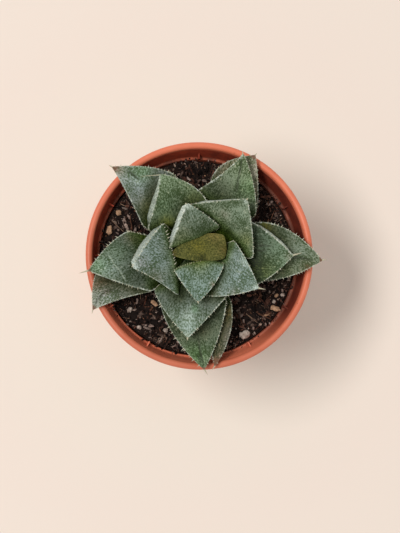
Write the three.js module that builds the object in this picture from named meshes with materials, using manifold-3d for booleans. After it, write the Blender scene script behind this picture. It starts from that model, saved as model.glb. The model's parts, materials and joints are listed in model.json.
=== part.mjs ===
// Potted haworthia: one star-shaped rosette of thick, three-cornered leaves in a small plastic
// nursery pot of bark-and-grit potting mix.
// Millimetres, +Z up. The origin is the centre of the pot's underside, and -Y is the near side.

import * as THREE from 'three';
import { mergeVertices } from 'three/addons/utils/BufferGeometryUtils.js';
import Module from 'manifold-3d';

const wasm = await Module();
wasm.setup();

// Driving dimensions of the pot
const RIM_RADIUS = 42.5;
const POT_HEIGHT = 75;
const BASE_RADIUS = 29.5;
const LIP_WIDTH = 2.6;
const LIP_DEPTH = 2.2;
const COLLAR_DEPTH = 8.3;
const WALL = 1.1;
const FLOOR = 1.3;
const LEDGE_WIDTH = 0.9;
const FOOT_ROUND = 3;
const FLOOR_ROUND = 3;
const BODY_INSET = 4.4;
const COLLAR_INSET = { bottom: 3.1, top: 1.3 };
const POT_SIDES = 48;
const RIB_COUNT = 12;
const RIB = { thickness: 0.5, reach: 1.0, height: 3.0, sunk: 0.4 };
const DRAIN = { count: 8, radius: 2.6, circle: 19, sides: 12 };

// Driving dimensions of what fills it
const GAP = 0.3;
const FLATNESS = 0.02;
const SOIL_EDGE_HEIGHT = 65.9;
const SOIL_RISE = 1.0;
const SOIL_ROUGHNESS = 0.55;
const MIX_FOOT_HEIGHT = 6;
const ROSETTE_CENTRE = new THREE.Vector2(-0.4, 2.2);
const STEM_RADIUS = 3.6;
const STEM_TOP = 80.8;
const STEM_FOOT = 46;
const ROOT_TAPER = { height: 12, radius: 2.6, end: 1.2 };

// Leaf bases climb the stem from the oldest to the youngest
const LOWEST_BASE = 69.4;
const HIGHEST_BASE = 76.2;
const BASE_HALF_WIDTH = 3.0;
const BASE_HALF_THICKNESS = 1.6;

// How far out and up the hidden neck of a leaf is drawn before it turns to its crest, as shares of
// the way there, for the youngest and the oldest leaf and for every keel
const NECK_OUTWARD = { youngest: 0.9, oldest: 0.6, keel: 0.5 };
const NECK_UPWARD = { youngest: 0.2, oldest: 0.45, keel: 0.4 };
const TIP_DEPTH = 0.9;
const KEEL_FALL = 1.6;
const FACE_DOME = 0.06;
const FLANK_SWELL = 0.16;

// Spines: a bristle ends each leaf and short teeth line its margins
const TOOTH = { radius: 0.34, reach: 0.75, sunk: 0.5, spacing: 2.6 };
const BRISTLE_RADIUS = 0.36;

const UP = new THREE.Vector3(0, 0, 1);
const SHARPEST_MITRE = 0.3;

// The leaves, youngest first. tip, cw and ccw are the corners of the triangular end face, with cw
// and ccw clockwise and counter-clockwise seen from above. crest is the middle of the edge where
// the face turns down towards the stem. bow swells the two margins, cw then ccw. keel is where the
// back ridge runs, from -1 under the cw margin to 1 under the ccw margin, and its depth at the
// crest. band is how far that ridge stands out beyond the margin at its widest, where along the face
// it does so, and the share of it that is left at the tip. blunt is the width of the tip, and
// bristle is the spine that ends it.
const LEAVES = [
  { name: 'leaf_01', tip: [-11.8, -0.8, 85.2], cw: [8.1, 6.4, 84.8], ccw: [8.3, -2.1, 84.8],
    crest: [8.8, 2.2, 84.3], bow: [3.1, 1.7], keel: [0, 6.2], band: [0, 0.5, 0],
    blunt: 0.9, bristle: [-0.5, 0, 0.2] },
  { name: 'leaf_02', tip: [-2.6, -18.1, 90], cw: [-11.2, -6.6, 87], ccw: [7.4, -4.1, 87.5],
    crest: [-1.6, -3.2, 86], bow: [0.4, 1.3], keel: [0.1, 8.5], band: [0, 0.5, 0],
    blunt: 1.6, bristle: [0.2, -1.3, 0.6] },
  { name: 'leaf_03', tip: [-6.5, 16.9, 91], cw: [6, 9.2, 86.8], ccw: [-12.9, 0.9, 87],
    crest: [-2.6, 4.9, 85.8], bow: [0.5, -0.4], keel: [1, 8.5], band: [1.9, 0.8, 0.8],
    blunt: 0.9, bristle: [-0.5, 0.5, 0.3] },
  { name: 'leaf_04', tip: [19.5, -13.2, 88.5], cw: [0.9, -16, 85], ccw: [11.1, 4.4, 86.5],
    crest: [7.5, -3.5, 85], bow: [1.4, 0.7], keel: [0.1, 8], band: [0, 0.5, 0],
    blunt: 1.0, bristle: [2.9, -0.6, 0.8] },
  { name: 'leaf_05', tip: [-25.9, -6.1, 88.5], cw: [-14.8, 10.6, 87], ccw: [-9.2, -16.1, 85],
    crest: [-10.4, -4, 85.7], bow: [0.7, -1.0], keel: [-1, 8.5], band: [2.1, 0.7, 0.9],
    blunt: 0.9, bristle: [-0.5, -0.3, 0.2] },
  { name: 'leaf_06', tip: [15.5, 18.9, 88], cw: [18.3, -2.3, 85.5], ccw: [-5.1, 17.6, 86],
    crest: [8.8, 8.6, 85], bow: [0.9, 0.1], keel: [0.9, 8], band: [1.1, 0.35, 0],
    blunt: 1.6, bristle: [0.7, 0.8, 0.5] },
  { name: 'leaf_07', tip: [-5.7, -30.9, 84.5], cw: [-18, -13.8, 83], ccw: [8.9, -15.8, 83],
    crest: [-4.3, -11, 82], bow: [1.5, 0.3], keel: [0, 8], band: [0, 0.5, 0],
    blunt: 1.0, bristle: [-0.2, -1.5, 0.5] },
  { name: 'leaf_08', tip: [-15.5, 28.3, 85.5], cw: [1.9, 18.5, 83], ccw: [-20.5, 8.4, 83],
    crest: [-9.1, 11.4, 82], bow: [2.6, -1.0], keel: [1, 8], band: [1.7, 0.45, 0.2],
    blunt: 0.9, bristle: [-7.8, -0.6, -1.2] },
  { name: 'leaf_09', tip: [32.9, -0.9, 84], cw: [19, -11.9, 82], ccw: [17.5, 12.1, 82.5],
    crest: [15.8, 0, 81], bow: [1.4, 1.0], keel: [1, 7.5], band: [1.2, 0.8, 0.4],
    blunt: 1.0, bristle: [4.0, 1.1, 0.4] },
  { name: 'leaf_10', tip: [-41.4, -6.7, 81.5], cw: [-27.4, 8, 81], ccw: [-18.4, -14.3, 80],
    crest: [-21, -1.7, 79], bow: [1.5, 0.6], keel: [0, 6.5], band: [0, 0.5, 0],
    blunt: 0.8, bristle: [-4.0, -1.2, 0] },
  { name: 'leaf_11', tip: [15.1, 36.5, 83], cw: [19.9, 14.1, 81.5], ccw: [-2.1, 23.2, 82],
    crest: [8.6, 18.2, 80], bow: [1.6, -1.0], keel: [0.5, 7], band: [0, 0.5, 0],
    blunt: 0.9, bristle: [-0.6, 1.5, 0.7] },
  { name: 'leaf_12', tip: [0.9, -42.3, 78.6], cw: [-15.4, -17.9, 78.5], ccw: [9.4, -16.6, 79],
    crest: [-2.4, -17, 77.5], bow: [2.7, 1.3], keel: [0.2, 6], band: [0, 0.5, 0],
    blunt: 0.8, bristle: [1.4, -2.2, -0.3] },
  { name: 'leaf_13', tip: [-32.8, 31.6, 79.6], cw: [-9.6, 29.2, 79.5], ccw: [-21.7, 9.8, 78.5],
    crest: [-15.4, 18.2, 77.5], bow: [1.9, -0.5], keel: [0, 6], band: [0, 0.5, 0],
    blunt: 0.8, bristle: [-1.7, 0.8, 0] },
  { name: 'leaf_14', tip: [44.8, -1.9, 79], cw: [23.7, -9.7, 78], ccw: [20.8, 12.3, 78],
    crest: [21.3, 1.9, 77], bow: [1.6, 3.6], keel: [0, 5.5], band: [0, 0.5, 0],
    blunt: 0.8, bristle: [2.0, 0.4, 0.3] },
  { name: 'leaf_15', tip: [-39.8, -20.5, 77.6], cw: [-38.5, -7, 78], ccw: [-18.6, -14.1, 77],
    crest: [-26.3, -7.8, 76], bow: [1.5, -0.8], keel: [0, 4.5], band: [0, 0.5, 0],
    blunt: 0.8, bristle: [-0.5, -2.0, 0] },
  { name: 'leaf_16', tip: [19.9, 37, 78.6], cw: [21.1, 16.8, 77.5], ccw: [3.6, 27.8, 78],
    crest: [12.7, 20.5, 77], bow: [0.6, 3.2], keel: [0, 5], band: [0, 0.5, 0],
    blunt: 0.9, bristle: [0.9, 1.0, 0] },
  { name: 'leaf_17', tip: [5.2, -40.9, 77.2], cw: [1.9, -17.9, 76], ccw: [11.2, -16.8, 76.2],
    crest: [7.3, -16.7, 75], bow: [0.6, 2.6], keel: [0, 4], band: [0, 0.5, 0],
    blunt: 0.8, bristle: [-1.2, -2.0, 0] },
];

// Chips that show on the mix: centre in plan, half length, half width, half height, turn in plan,
// tilt of the far end and lift above the usual seat
const CHIPS = [
  { name: 'bark_chip_1', at: [29.2, -19.2], size: [2.6, 1.1, 0.8], turn: -21, tilt: 12,
    lift: 1.0, kind: 'bark' },
  { name: 'bark_chip_2', at: [-33.3, 9.8], size: [2.4, 1.3, 1.0], turn: 80, tilt: 0,
    lift: 0, kind: 'bark' },
  { name: 'bark_chip_3', at: [-30.1, 16.4], size: [1.3, 1.1, 0.9], turn: 20, tilt: 0,
    lift: 0, kind: 'bark' },
  { name: 'bark_chip_4', at: [-16.6, -17.4], size: [2.0, 1.0, 0.8], turn: -35, tilt: 0,
    lift: 0, kind: 'bark' },
  { name: 'bark_chip_5', at: [29.7, -14.3], size: [1.0, 0.8, 0.7], turn: 30, tilt: 0,
    lift: 0, kind: 'bark' },
  { name: 'pumice_chip_1', at: [17.7, -29.1], size: [2.6, 1.7, 1.2], turn: 25, tilt: 0,
    lift: 0, kind: 'pumice' },
  { name: 'pumice_chip_2', at: [-22.1, -26.6], size: [1.3, 1.0, 0.8], turn: -30, tilt: 0,
    lift: 0, kind: 'pumice' },
  { name: 'pumice_chip_3', at: [-25.6, -20.0], size: [1.3, 1.1, 0.9], turn: 50, tilt: 0,
    lift: 0, kind: 'pumice' },
  { name: 'pumice_chip_4', at: [-12.2, -27.4], size: [1.1, 0.9, 0.8], turn: 10, tilt: 0,
    lift: 0, kind: 'pumice' },
  { name: 'pumice_chip_5', at: [28.8, -16.6], size: [1.0, 0.8, 0.8], turn: 60, tilt: 0,
    lift: 0, kind: 'pumice' },
  { name: 'pumice_chip_6', at: [32.0, -14.0], size: [1.1, 0.8, 0.8], turn: -10, tilt: 0,
    lift: 0, kind: 'pumice' },
];

const COLOURS = {
  pot: 0xd9705a, mix: 0x3a2a24, stem: 0x7d7440, bark: 0xb08a66, pumice: 0xd9cdbf,
  inner: 0x6c7c6c, middle: 0x5f7059, outer: 0x5b6653, young: 0x77702e,
};

// A repeatable sequence of numbers from 0 to 1
function seededRandom(seed) {
  let state = seed;
  return () => {
    state = (state * 16807) % 2147483647;
    return state / 2147483647;
  };
}

function toSolid(geometry) {
  const bare = geometry.clone();
  bare.deleteAttribute('normal');
  bare.deleteAttribute('uv');
  const merged = mergeVertices(bare, 1e-4);
  return new wasm.Manifold(new wasm.Mesh({
    numProp: 3,
    vertProperties: Float32Array.from(merged.attributes.position.array),
    triVerts: Uint32Array.from(merged.index.array),
  }));
}

function toGeometry(solid) {
  const mesh = solid.getMesh();
  const geometry = new THREE.BufferGeometry();
  geometry.setAttribute('position', new THREE.BufferAttribute(mesh.vertProperties, 3));
  geometry.setIndex(new THREE.BufferAttribute(mesh.triVerts, 1));
  geometry.computeVertexNormals();
  return geometry;
}

function largestBody(solid) {
  const bodies = solid.decompose();
  bodies.sort((a, b) => b.volume() - a.volume());
  return bodies[0];
}

function lathe(profile, sides) {
  const points = profile.map(([radius, height]) => new THREE.Vector2(radius, height));
  const geometry = new THREE.LatheGeometry(points, sides);
  geometry.rotateX(Math.PI / 2);
  return geometry;
}

// Radii of the body's outer wall, which leans out from the base to the underside of the collar
const BODY_TOP = POT_HEIGHT - COLLAR_DEPTH - 1;
const BODY_TOP_RADIUS = RIM_RADIUS - BODY_INSET;

function outerWall(height) {
  return THREE.MathUtils.mapLinear(height, 3, BODY_TOP, BASE_RADIUS, BODY_TOP_RADIUS);
}

function innerWall(height) {
  return outerWall(height) - WALL;
}

// Points of a profile along an arc, angles in degrees from the outward direction
function arc(radius, height, size, from, to, steps) {
  return Array.from({ length: steps + 1 }, (_, i) => {
    const angle = THREE.MathUtils.degToRad(THREE.MathUtils.lerp(from, to, i / steps));
    return [radius + size * Math.cos(angle), height + size * Math.sin(angle)];
  });
}

const LEDGE_HEIGHT = POT_HEIGHT - COLLAR_DEPTH;
const LEDGE_OUTER = innerWall(BODY_TOP) + LEDGE_WIDTH;
const FLOOR_FLAT = innerWall(FLOOR + FLOOR_ROUND) - FLOOR_ROUND;

function potProfile() {
  const lipRound = LIP_WIDTH / 2;
  const collarTop = POT_HEIGHT - LIP_DEPTH;
  const wallLean = -9;
  return [
    [0, 0],
    ...arc(BASE_RADIUS - FOOT_ROUND, FOOT_ROUND, FOOT_ROUND, -90, wallLean, 3),
    [outerWall(BODY_TOP), BODY_TOP],
    [RIM_RADIUS - COLLAR_INSET.bottom, BODY_TOP + 0.3],
    [RIM_RADIUS - COLLAR_INSET.top, collarTop],
    ...arc(RIM_RADIUS - lipRound, POT_HEIGHT - lipRound, lipRound, -30, 210, 6),
    [RIM_RADIUS - LIP_WIDTH - 0.2, collarTop],
    [LEDGE_OUTER, LEDGE_HEIGHT + 0.4],
    [LEDGE_OUTER - 0.3, LEDGE_HEIGHT],
    [innerWall(BODY_TOP), LEDGE_HEIGHT - 0.3],
    [innerWall(BODY_TOP) - 0.1, LEDGE_HEIGHT - 1.2],
    ...arc(FLOOR_FLAT, FLOOR + FLOOR_ROUND, FLOOR_ROUND, wallLean, -90, 3),
    [0, FLOOR],
  ];
}

function drainHole(angle) {
  const depth = FLOOR * 4;
  const hole = new THREE.CylinderGeometry(DRAIN.radius, DRAIN.radius, depth, DRAIN.sides);
  hole.rotateX(Math.PI / 2);
  hole.translate(DRAIN.circle * Math.cos(angle), DRAIN.circle * Math.sin(angle), 0);
  return toSolid(hole);
}

// A short upright rib that stands on the ledge, with its outer end inside the collar's wall
function rib(angle) {
  const reach = RIB.reach + WALL;
  const geometry = new THREE.BoxGeometry(reach, RIB.thickness, RIB.height + RIB.sunk);
  geometry.translate(LEDGE_OUTER + WALL - reach / 2, 0, LEDGE_HEIGHT + RIB.height / 2 - RIB.sunk / 2);
  geometry.rotateZ(angle);
  return toSolid(geometry);
}

// The pot: a tapering body, a wider collar with a ledge inside, a rounded lip, ribs and drain holes
function makePot() {
  let pot = toSolid(lathe(potProfile(), POT_SIDES));
  for (let i = 0; i < RIB_COUNT; i += 1) {
    pot = pot.add(rib((i * 2 * Math.PI) / RIB_COUNT));
  }
  for (let i = 0; i < DRAIN.count; i += 1) {
    pot = pot.subtract(drainHole(((i + 0.5) * 2 * Math.PI) / DRAIN.count));
  }
  return pot.asOriginal().simplify(FLATNESS / 4);
}

// Height of the mix: it rises a little to the plant, with lumps whose places follow plain waves
function soilHeight(x, y) {
  const radius = Math.hypot(x, y);
  const rise = SOIL_RISE * (1 - (radius / BODY_TOP_RADIUS) ** 2);
  const lumps = Math.sin(x * 0.71 + 1.3) * Math.sin(y * 0.63 + 0.4)
    + 0.6 * Math.sin(x * 1.37 - y * 0.9) * Math.cos(y * 1.21 + x * 0.5);
  return SOIL_EDGE_HEIGHT + rise + SOIL_ROUGHNESS * lumps * Math.min(1, (BODY_TOP_RADIUS - radius) / 3 + 0.2);
}

// The mix fills the pot to its ledge, clear of the wall, with a relief of lumps on top
function makeMix() {
  const rings = 10;
  const sides = 40;
  const topRadius = innerWall(BODY_TOP - 2) - GAP;
  const positions = [0, 0, soilHeight(0, 0)];
  const indices = [];
  const addRing = (radius, heightAt) => {
    for (let j = 0; j < sides; j += 1) {
      const angle = (j * 2 * Math.PI) / sides;
      const x = radius * Math.cos(angle);
      const y = radius * Math.sin(angle);
      positions.push(x, y, heightAt(x, y));
    }
  };
  for (let i = 1; i <= rings; i += 1) {
    addRing((topRadius * i) / rings, soilHeight);
  }
  addRing(innerWall(MIX_FOOT_HEIGHT) - GAP, () => MIX_FOOT_HEIGHT);
  addRing(FLOOR_FLAT - GAP, () => FLOOR + GAP);
  const lastRing = rings + 2;
  const last = positions.length / 3;
  positions.push(0, 0, FLOOR + GAP);
  const at = (ring, side) => 1 + (ring - 1) * sides + (side % sides);
  for (let j = 0; j < sides; j += 1) {
    indices.push(0, at(1, j), at(1, j + 1));
    for (let i = 1; i < lastRing; i += 1) {
      indices.push(at(i, j), at(i + 1, j), at(i + 1, j + 1));
      indices.push(at(i, j), at(i + 1, j + 1), at(i, j + 1));
    }
    indices.push(last, at(lastRing, j + 1), at(lastRing, j));
  }
  const geometry = new THREE.BufferGeometry();
  geometry.setAttribute('position', new THREE.Float32BufferAttribute(positions, 3));
  geometry.setIndex(indices);
  return toSolid(geometry);
}

// The short stem with its root crown, which tapers into the mix
function stemProfile(grow) {
  return [
    [0, STEM_FOOT - grow],
    [ROOT_TAPER.end + grow, STEM_FOOT + 1 - grow],
    [ROOT_TAPER.radius + grow, STEM_FOOT + ROOT_TAPER.height],
    [STEM_RADIUS + grow, LOWEST_BASE - 3],
    [STEM_RADIUS + grow, STEM_TOP - 1.5],
    [STEM_RADIUS * 0.7 + grow, STEM_TOP - 0.4 + grow],
    [0, STEM_TOP + grow],
  ];
}

function makeStem(grow = 0) {
  const stem = lathe(stemProfile(grow), 16);
  stem.translate(ROSETTE_CENTRE.x, ROSETTE_CENTRE.y, 0);
  return toSolid(stem);
}

// A chip is a rounded block knocked out of true
function makeChip(chip, order, grow = 0) {
  const random = seededRandom(91 + order * 17);
  const geometry = mergeVertices(barePosition(new THREE.IcosahedronGeometry(1, 0)), 1e-4);
  const position = geometry.attributes.position;
  for (let i = 0; i < position.count; i += 1) {
    const knock = 0.86 + 0.26 * random();
    position.setXYZ(
      i,
      position.getX(i) * (chip.size[0] * knock + grow),
      position.getY(i) * (chip.size[1] * knock + grow),
      position.getZ(i) * (chip.size[2] * knock + grow),
    );
  }
  geometry.rotateY(-THREE.MathUtils.degToRad(chip.tilt));
  geometry.rotateZ(THREE.MathUtils.degToRad(chip.turn));
  const [x, y] = chip.at;
  geometry.translate(x, y, soilHeight(x, y) + chip.size[2] * 0.45 + chip.lift);
  return toSolid(geometry);
}

function barePosition(geometry) {
  geometry.deleteAttribute('normal');
  geometry.deleteAttribute('uv');
  return geometry;
}

// Margin of the end face from its corner (u = 0) to the tip (u = 1), swollen sideways by bow
function marginPoint(corner, end, outward, bow, u) {
  const point = new THREE.Vector3().lerpVectors(corner, end, u);
  return point.addScaledVector(outward, bow * 4 * u * (1 - u));
}

function bend(a, b, c, t) {
  return new THREE.QuadraticBezierCurve3(a, b, c).getPoint(t);
}

// The four guide lines of a leaf: its two margins, the middle of its face and its keel
function leafGuides(leaf, order) {
  const tip = new THREE.Vector3(...leaf.tip);
  const cw = new THREE.Vector3(...leaf.cw);
  const ccw = new THREE.Vector3(...leaf.ccw);
  const crest = new THREE.Vector3(...leaf.crest);
  const centre = new THREE.Vector3(ROSETTE_CENTRE.x, ROSETTE_CENTRE.y, 0);
  const along = tip.clone().sub(centre).setZ(0).normalize();
  const across = new THREE.Vector3().crossVectors(UP, along);
  const age = order / (LEAVES.length - 1);
  const baseHeight = THREE.MathUtils.lerp(HIGHEST_BASE, LOWEST_BASE, age);
  const base = centre.clone().addScaledVector(along, STEM_RADIUS * 0.75).setZ(baseHeight);
  const tipCcw = tip.clone().addScaledVector(across, leaf.blunt / 2);
  const tipCw = tip.clone().addScaledVector(across, -leaf.blunt / 2);
  const [keelSide, keelDepth] = leaf.keel;
  const [bandWidth, bandPeak, bandEnd] = leaf.band;
  const crestSag = crest.clone().sub(cw.clone().add(ccw).multiplyScalar(0.5));

  // Points round the end face, u from the crest (0) to the tip (1)
  const face = (u) => {
    const left = marginPoint(ccw, tipCcw, across, leaf.bow[1], u);
    const right = marginPoint(cw, tipCw, across.clone().negate(), leaf.bow[0], u);
    const middle = left.clone().add(right).multiplyScalar(0.5);
    const half = left.clone().sub(right).multiplyScalar(0.5);
    const aside = keelSide * THREE.MathUtils.lerp(0.7, 1, THREE.MathUtils.smoothstep(u, 0, 0.3));
    const band = bandWidth * THREE.MathUtils.smoothstep(u, 0, bandPeak)
      * (1 - (1 - bandEnd) * THREE.MathUtils.smoothstep(u, bandPeak, 1));
    const depth = THREE.MathUtils.lerp(keelDepth, TIP_DEPTH, u ** KEEL_FALL);
    const keel = middle.clone().addScaledVector(half, aside)
      .addScaledVector(across, band * Math.sign(keelSide)).addScaledVector(UP, -depth);
    const dome = FACE_DOME * half.length() * (1 - u) * Math.min(1, u * 3);
    middle.addScaledVector(crestSag, (1 - u) ** 2).addScaledVector(UP, dome);
    return { left, right, middle, keel };
  };

  // Points of the hidden part, t from the stem (0) to the crest (1)
  const raised = base.clone().addScaledVector(UP, BASE_HALF_THICKNESS * 0.6);
  const start = {
    left: raised.clone().addScaledVector(across, BASE_HALF_WIDTH),
    right: raised.clone().addScaledVector(across, -BASE_HALF_WIDTH),
    middle: base.clone().addScaledVector(UP, BASE_HALF_THICKNESS),
    keel: base.clone().addScaledVector(UP, -BASE_HALF_THICKNESS),
  };
  const end = face(0);
  const neck = (t) => {
    const point = {};
    for (const line of Object.keys(start)) {
      const outward = line === 'keel' ? NECK_OUTWARD.keel
        : THREE.MathUtils.lerp(NECK_OUTWARD.youngest, NECK_OUTWARD.oldest, age);
      const upward = line === 'keel' ? NECK_UPWARD.keel
        : THREE.MathUtils.lerp(NECK_UPWARD.youngest, NECK_UPWARD.oldest, age);
      const via = start[line].clone().lerp(end[line], outward);
      via.z = THREE.MathUtils.lerp(start[line].z, end[line].z, upward);
      point[line] = bend(start[line], via, end[line], t);
    }
    return point;
  };
  return { face, neck, along };
}

// One closed ring of points round the leaf, through its four guide points
const FACE_STEPS = [1, 0.5, 0, -0.5, -1];
const FLANK_STEPS = [0.5];

function ringAt({ left, right, middle, keel }) {
  const centre = left.clone().add(right).multiplyScalar(0.5);
  const half = left.clone().sub(right).multiplyScalar(0.5);
  const rise = middle.clone().sub(centre);
  const ring = FACE_STEPS.map((w) => centre.clone()
    .addScaledVector(half, w).addScaledVector(rise, 1 - w * w));
  const flank = (from, to, outward, steps) => {
    const edge = to.clone().sub(from);
    const length = edge.length();
    edge.normalize();
    const push = outward.clone().addScaledVector(edge, -outward.dot(edge)).normalize();
    return steps.map((w) => from.clone().addScaledVector(edge, w * length)
      .addScaledVector(push, FLANK_SWELL * length * 4 * w * (1 - w)));
  };
  const sideways = half.clone().normalize();
  ring.push(...flank(right, keel, sideways.clone().negate(), FLANK_STEPS));
  ring.push(keel.clone());
  ring.push(...flank(left, keel, sideways, FLANK_STEPS).reverse());
  return ring;
}

// Closed skin over a row of rings that ends in a point
function skin({ rings, start, end }) {
  const size = rings[0].length;
  const points = [start, ...rings.flat(), end];
  const last = points.length - 1;
  const indices = [];
  for (let j = 0; j < size; j += 1) {
    const next = (j + 1) % size;
    indices.push(0, 1 + next, 1 + j);
    for (let i = 0; i < rings.length - 1; i += 1) {
      const a = 1 + i * size;
      const b = a + size;
      indices.push(a + j, a + next, b + next, a + j, b + next, b + j);
    }
    const a = 1 + (rings.length - 1) * size;
    indices.push(a + j, a + next, last);
  }
  const geometry = new THREE.BufferGeometry();
  geometry.setAttribute('position', new THREE.Float32BufferAttribute(points.flatMap((p) => p.toArray()), 3));
  geometry.setIndex(indices);
  return geometry;
}

const NECK_STATIONS = [0, 0.45, 0.85];
const FACE_STATIONS = [0, 0.08, 0.3, 0.55, 0.8, 1];

function centreOf(ring) {
  return ring.reduce((sum, p) => sum.add(p), new THREE.Vector3()).divideScalar(ring.length);
}

// All the rings of a leaf from the stem outwards, and the two points that close it. The youngest
// leaf lies right on the stem's tip, so it has no neck.
function leafRings(leaf, order) {
  const guides = leafGuides(leaf, order);
  const bristle = new THREE.Vector3(...leaf.bristle);
  const neckStations = order === 0 ? [] : NECK_STATIONS;
  const rings = [
    ...neckStations.map((t) => ringAt(guides.neck(t))),
    ...FACE_STATIONS.map((u) => ringAt(guides.face(u))),
  ];
  const tipRing = rings[rings.length - 1];
  const tipCentre = centreOf(tipRing);
  const shrink = (reach, radius) => tipRing.map((p) => {
    const offset = p.clone().sub(tipCentre);
    return tipCentre.clone().addScaledVector(bristle, reach).add(offset.setLength(radius));
  });
  rings.push(shrink(0.22, BRISTLE_RADIUS));
  rings.push(shrink(0.6, BRISTLE_RADIUS * 0.75));
  return { rings, start: centreOf(rings[0]), end: tipCentre.clone().add(bristle) };
}

// A ring moved outwards in its own plane, with its corners mitred as far as is sensible
function grownRing(ring, grow) {
  const size = ring.length;
  const centre = centreOf(ring);
  const plane = new THREE.Vector3();
  ring.forEach((p, i) => {
    const next = ring[(i + 1) % size].clone().sub(centre);
    plane.add(p.clone().sub(centre).cross(next));
  });
  plane.normalize();
  const outward = ring.map((p, i) => ring[(i + 1) % size].clone().sub(p).cross(plane).normalize());
  return ring.map((p, i) => {
    const before = outward[(i + size - 1) % size];
    const after = outward[i];
    const share = Math.max(1 + before.dot(after), SHARPEST_MITRE);
    return p.clone().addScaledVector(before.clone().add(after), grow / share);
  });
}

// The room of a leaf: a little larger than the leaf all round, made of one convex block for each
// pair of neighbouring rings so that no part of it folds over another
function leafRoom({ rings, end }) {
  const grown = rings.map((ring) => grownRing(ring, GAP));
  const beyond = end.clone().sub(centreOf(rings[rings.length - 1])).setLength(GAP);
  grown.push([end.clone().add(beyond)]);
  const blocks = grown.slice(0, -1).map((ring, i) => wasm.Manifold.hull(
    [...ring, ...grown[i + 1]].map((p) => p.toArray()),
  ));
  return wasm.Manifold.union(blocks);
}

function toothSolid(root, outward, radius, reach) {
  const length = reach + TOOTH.sunk;
  const cone = new THREE.ConeGeometry(radius, length, 3);
  cone.translate(0, length / 2 - TOOTH.sunk, 0);
  cone.applyQuaternion(new THREE.Quaternion().setFromUnitVectors(new THREE.Vector3(0, 1, 0), outward));
  cone.translate(root.x, root.y, root.z);
  return toSolid(cone);
}

// Roots and directions of the teeth along both margins, and along a keel that shows beside one
function toothPlaces(leaf, order) {
  const { face, along } = leafGuides(leaf, order);
  const lines = [
    { pick: (p) => p.left, from: 0.04, away: (p) => p.left.clone().sub(p.right) },
    { pick: (p) => p.right, from: 0.04, away: (p) => p.right.clone().sub(p.left) },
  ];
  if (leaf.band[0] > 0.5) {
    lines.push({ pick: (p) => p.keel, from: 0.3, away: (p) => p.keel.clone().sub(p.middle).setZ(0) });
  }
  const places = [];
  for (const { pick, from, away } of lines) {
    const length = pick(face(from)).distanceTo(pick(face(1)));
    const count = Math.max(2, Math.round(length / TOOTH.spacing));
    for (let i = 0; i < count; i += 1) {
      const u = from + ((i + 0.5) / count) * (0.97 - from);
      const here = face(u);
      const outward = away(here).setZ(0).normalize().addScaledVector(along, 0.45).normalize();
      places.push({ root: pick(here), outward });
    }
  }
  return places;
}

// Younger leaves keep their shape, and each older one makes room for all that lie over it
function makeLeaves(stemRoom) {
  const bodies = [];
  const room = [];
  LEAVES.forEach((leaf, order) => {
    const outline = leafRings(leaf, order);
    let body = toSolid(skin(outline)).subtract(stemRoom);
    for (const younger of room) {
      body = body.subtract(younger);
    }
    bodies.push(largestBody(body.asOriginal().simplify(FLATNESS)));
    room.push(leafRoom(outline));
  });
  return bodies.map((body, order) => {
    let leaf = body;
    for (const { root, outward } of toothPlaces(LEAVES[order], order)) {
      const wide = toothSolid(root, outward, TOOTH.radius + GAP, TOOTH.reach + GAP);
      const crosses = bodies.some((other, i) => i !== order && other.intersect(wide).volume() > 0);
      const rooted = body.intersect(toothSolid(root, outward, TOOTH.radius, 0.01)).volume() > 0.01;
      if (rooted && !crosses) {
        leaf = leaf.add(toothSolid(root, outward, TOOTH.radius, TOOTH.reach));
      }
    }
    return largestBody(leaf.asOriginal().simplify(FLATNESS));
  });
}

function addMesh(group, name, solid, colour, roughness) {
  const material = new THREE.MeshStandardMaterial({ color: colour, roughness, metalness: 0 });
  const mesh = new THREE.Mesh(toGeometry(solid), material);
  mesh.name = name;
  group.add(mesh);
}

function leafColour(order) {
  if (order === 0) {
    return COLOURS.young;
  }
  if (order < 6) {
    return COLOURS.inner;
  }
  return order < 11 ? COLOURS.middle : COLOURS.outer;
}

const plant = new THREE.Group();
const stemRoom = makeStem(GAP);
let mix = makeMix().subtract(stemRoom);
CHIPS.forEach((chip, order) => {
  mix = mix.subtract(makeChip(chip, order, GAP));
});

addMesh(plant, 'pot', makePot(), COLOURS.pot, 0.55);
addMesh(plant, 'potting_mix', largestBody(mix), COLOURS.mix, 0.95);
addMesh(plant, 'stem', makeStem(), COLOURS.stem, 0.8);
CHIPS.forEach((chip, order) => {
  addMesh(plant, chip.name, makeChip(chip, order), COLOURS[chip.kind], 0.9);
});
makeLeaves(stemRoom).forEach((solid, order) => {
  addMesh(plant, LEAVES[order].name, solid, leafColour(order), 0.7);
});

export default plant;
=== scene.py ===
# %% [markdown]
# # A potted haworthia, seen from above
#
# A star-shaped rosette of thick, three-cornered leaves grows in a small terracotta-coloured
# nursery pot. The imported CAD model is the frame: it says where the pot, the potting mix, the stem
# and each leaf are. This lesson gives each of them a finer mesh in the same place and a material
# made of nodes, then adds what is too small for the CAD: teeth, crumbs and grit.

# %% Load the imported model
import json
import math

import bmesh
import bpy
import numpy as np
from mathutils import Matrix, Vector, kdtree, noise
from mathutils.bvhtree import BVHTree

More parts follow.
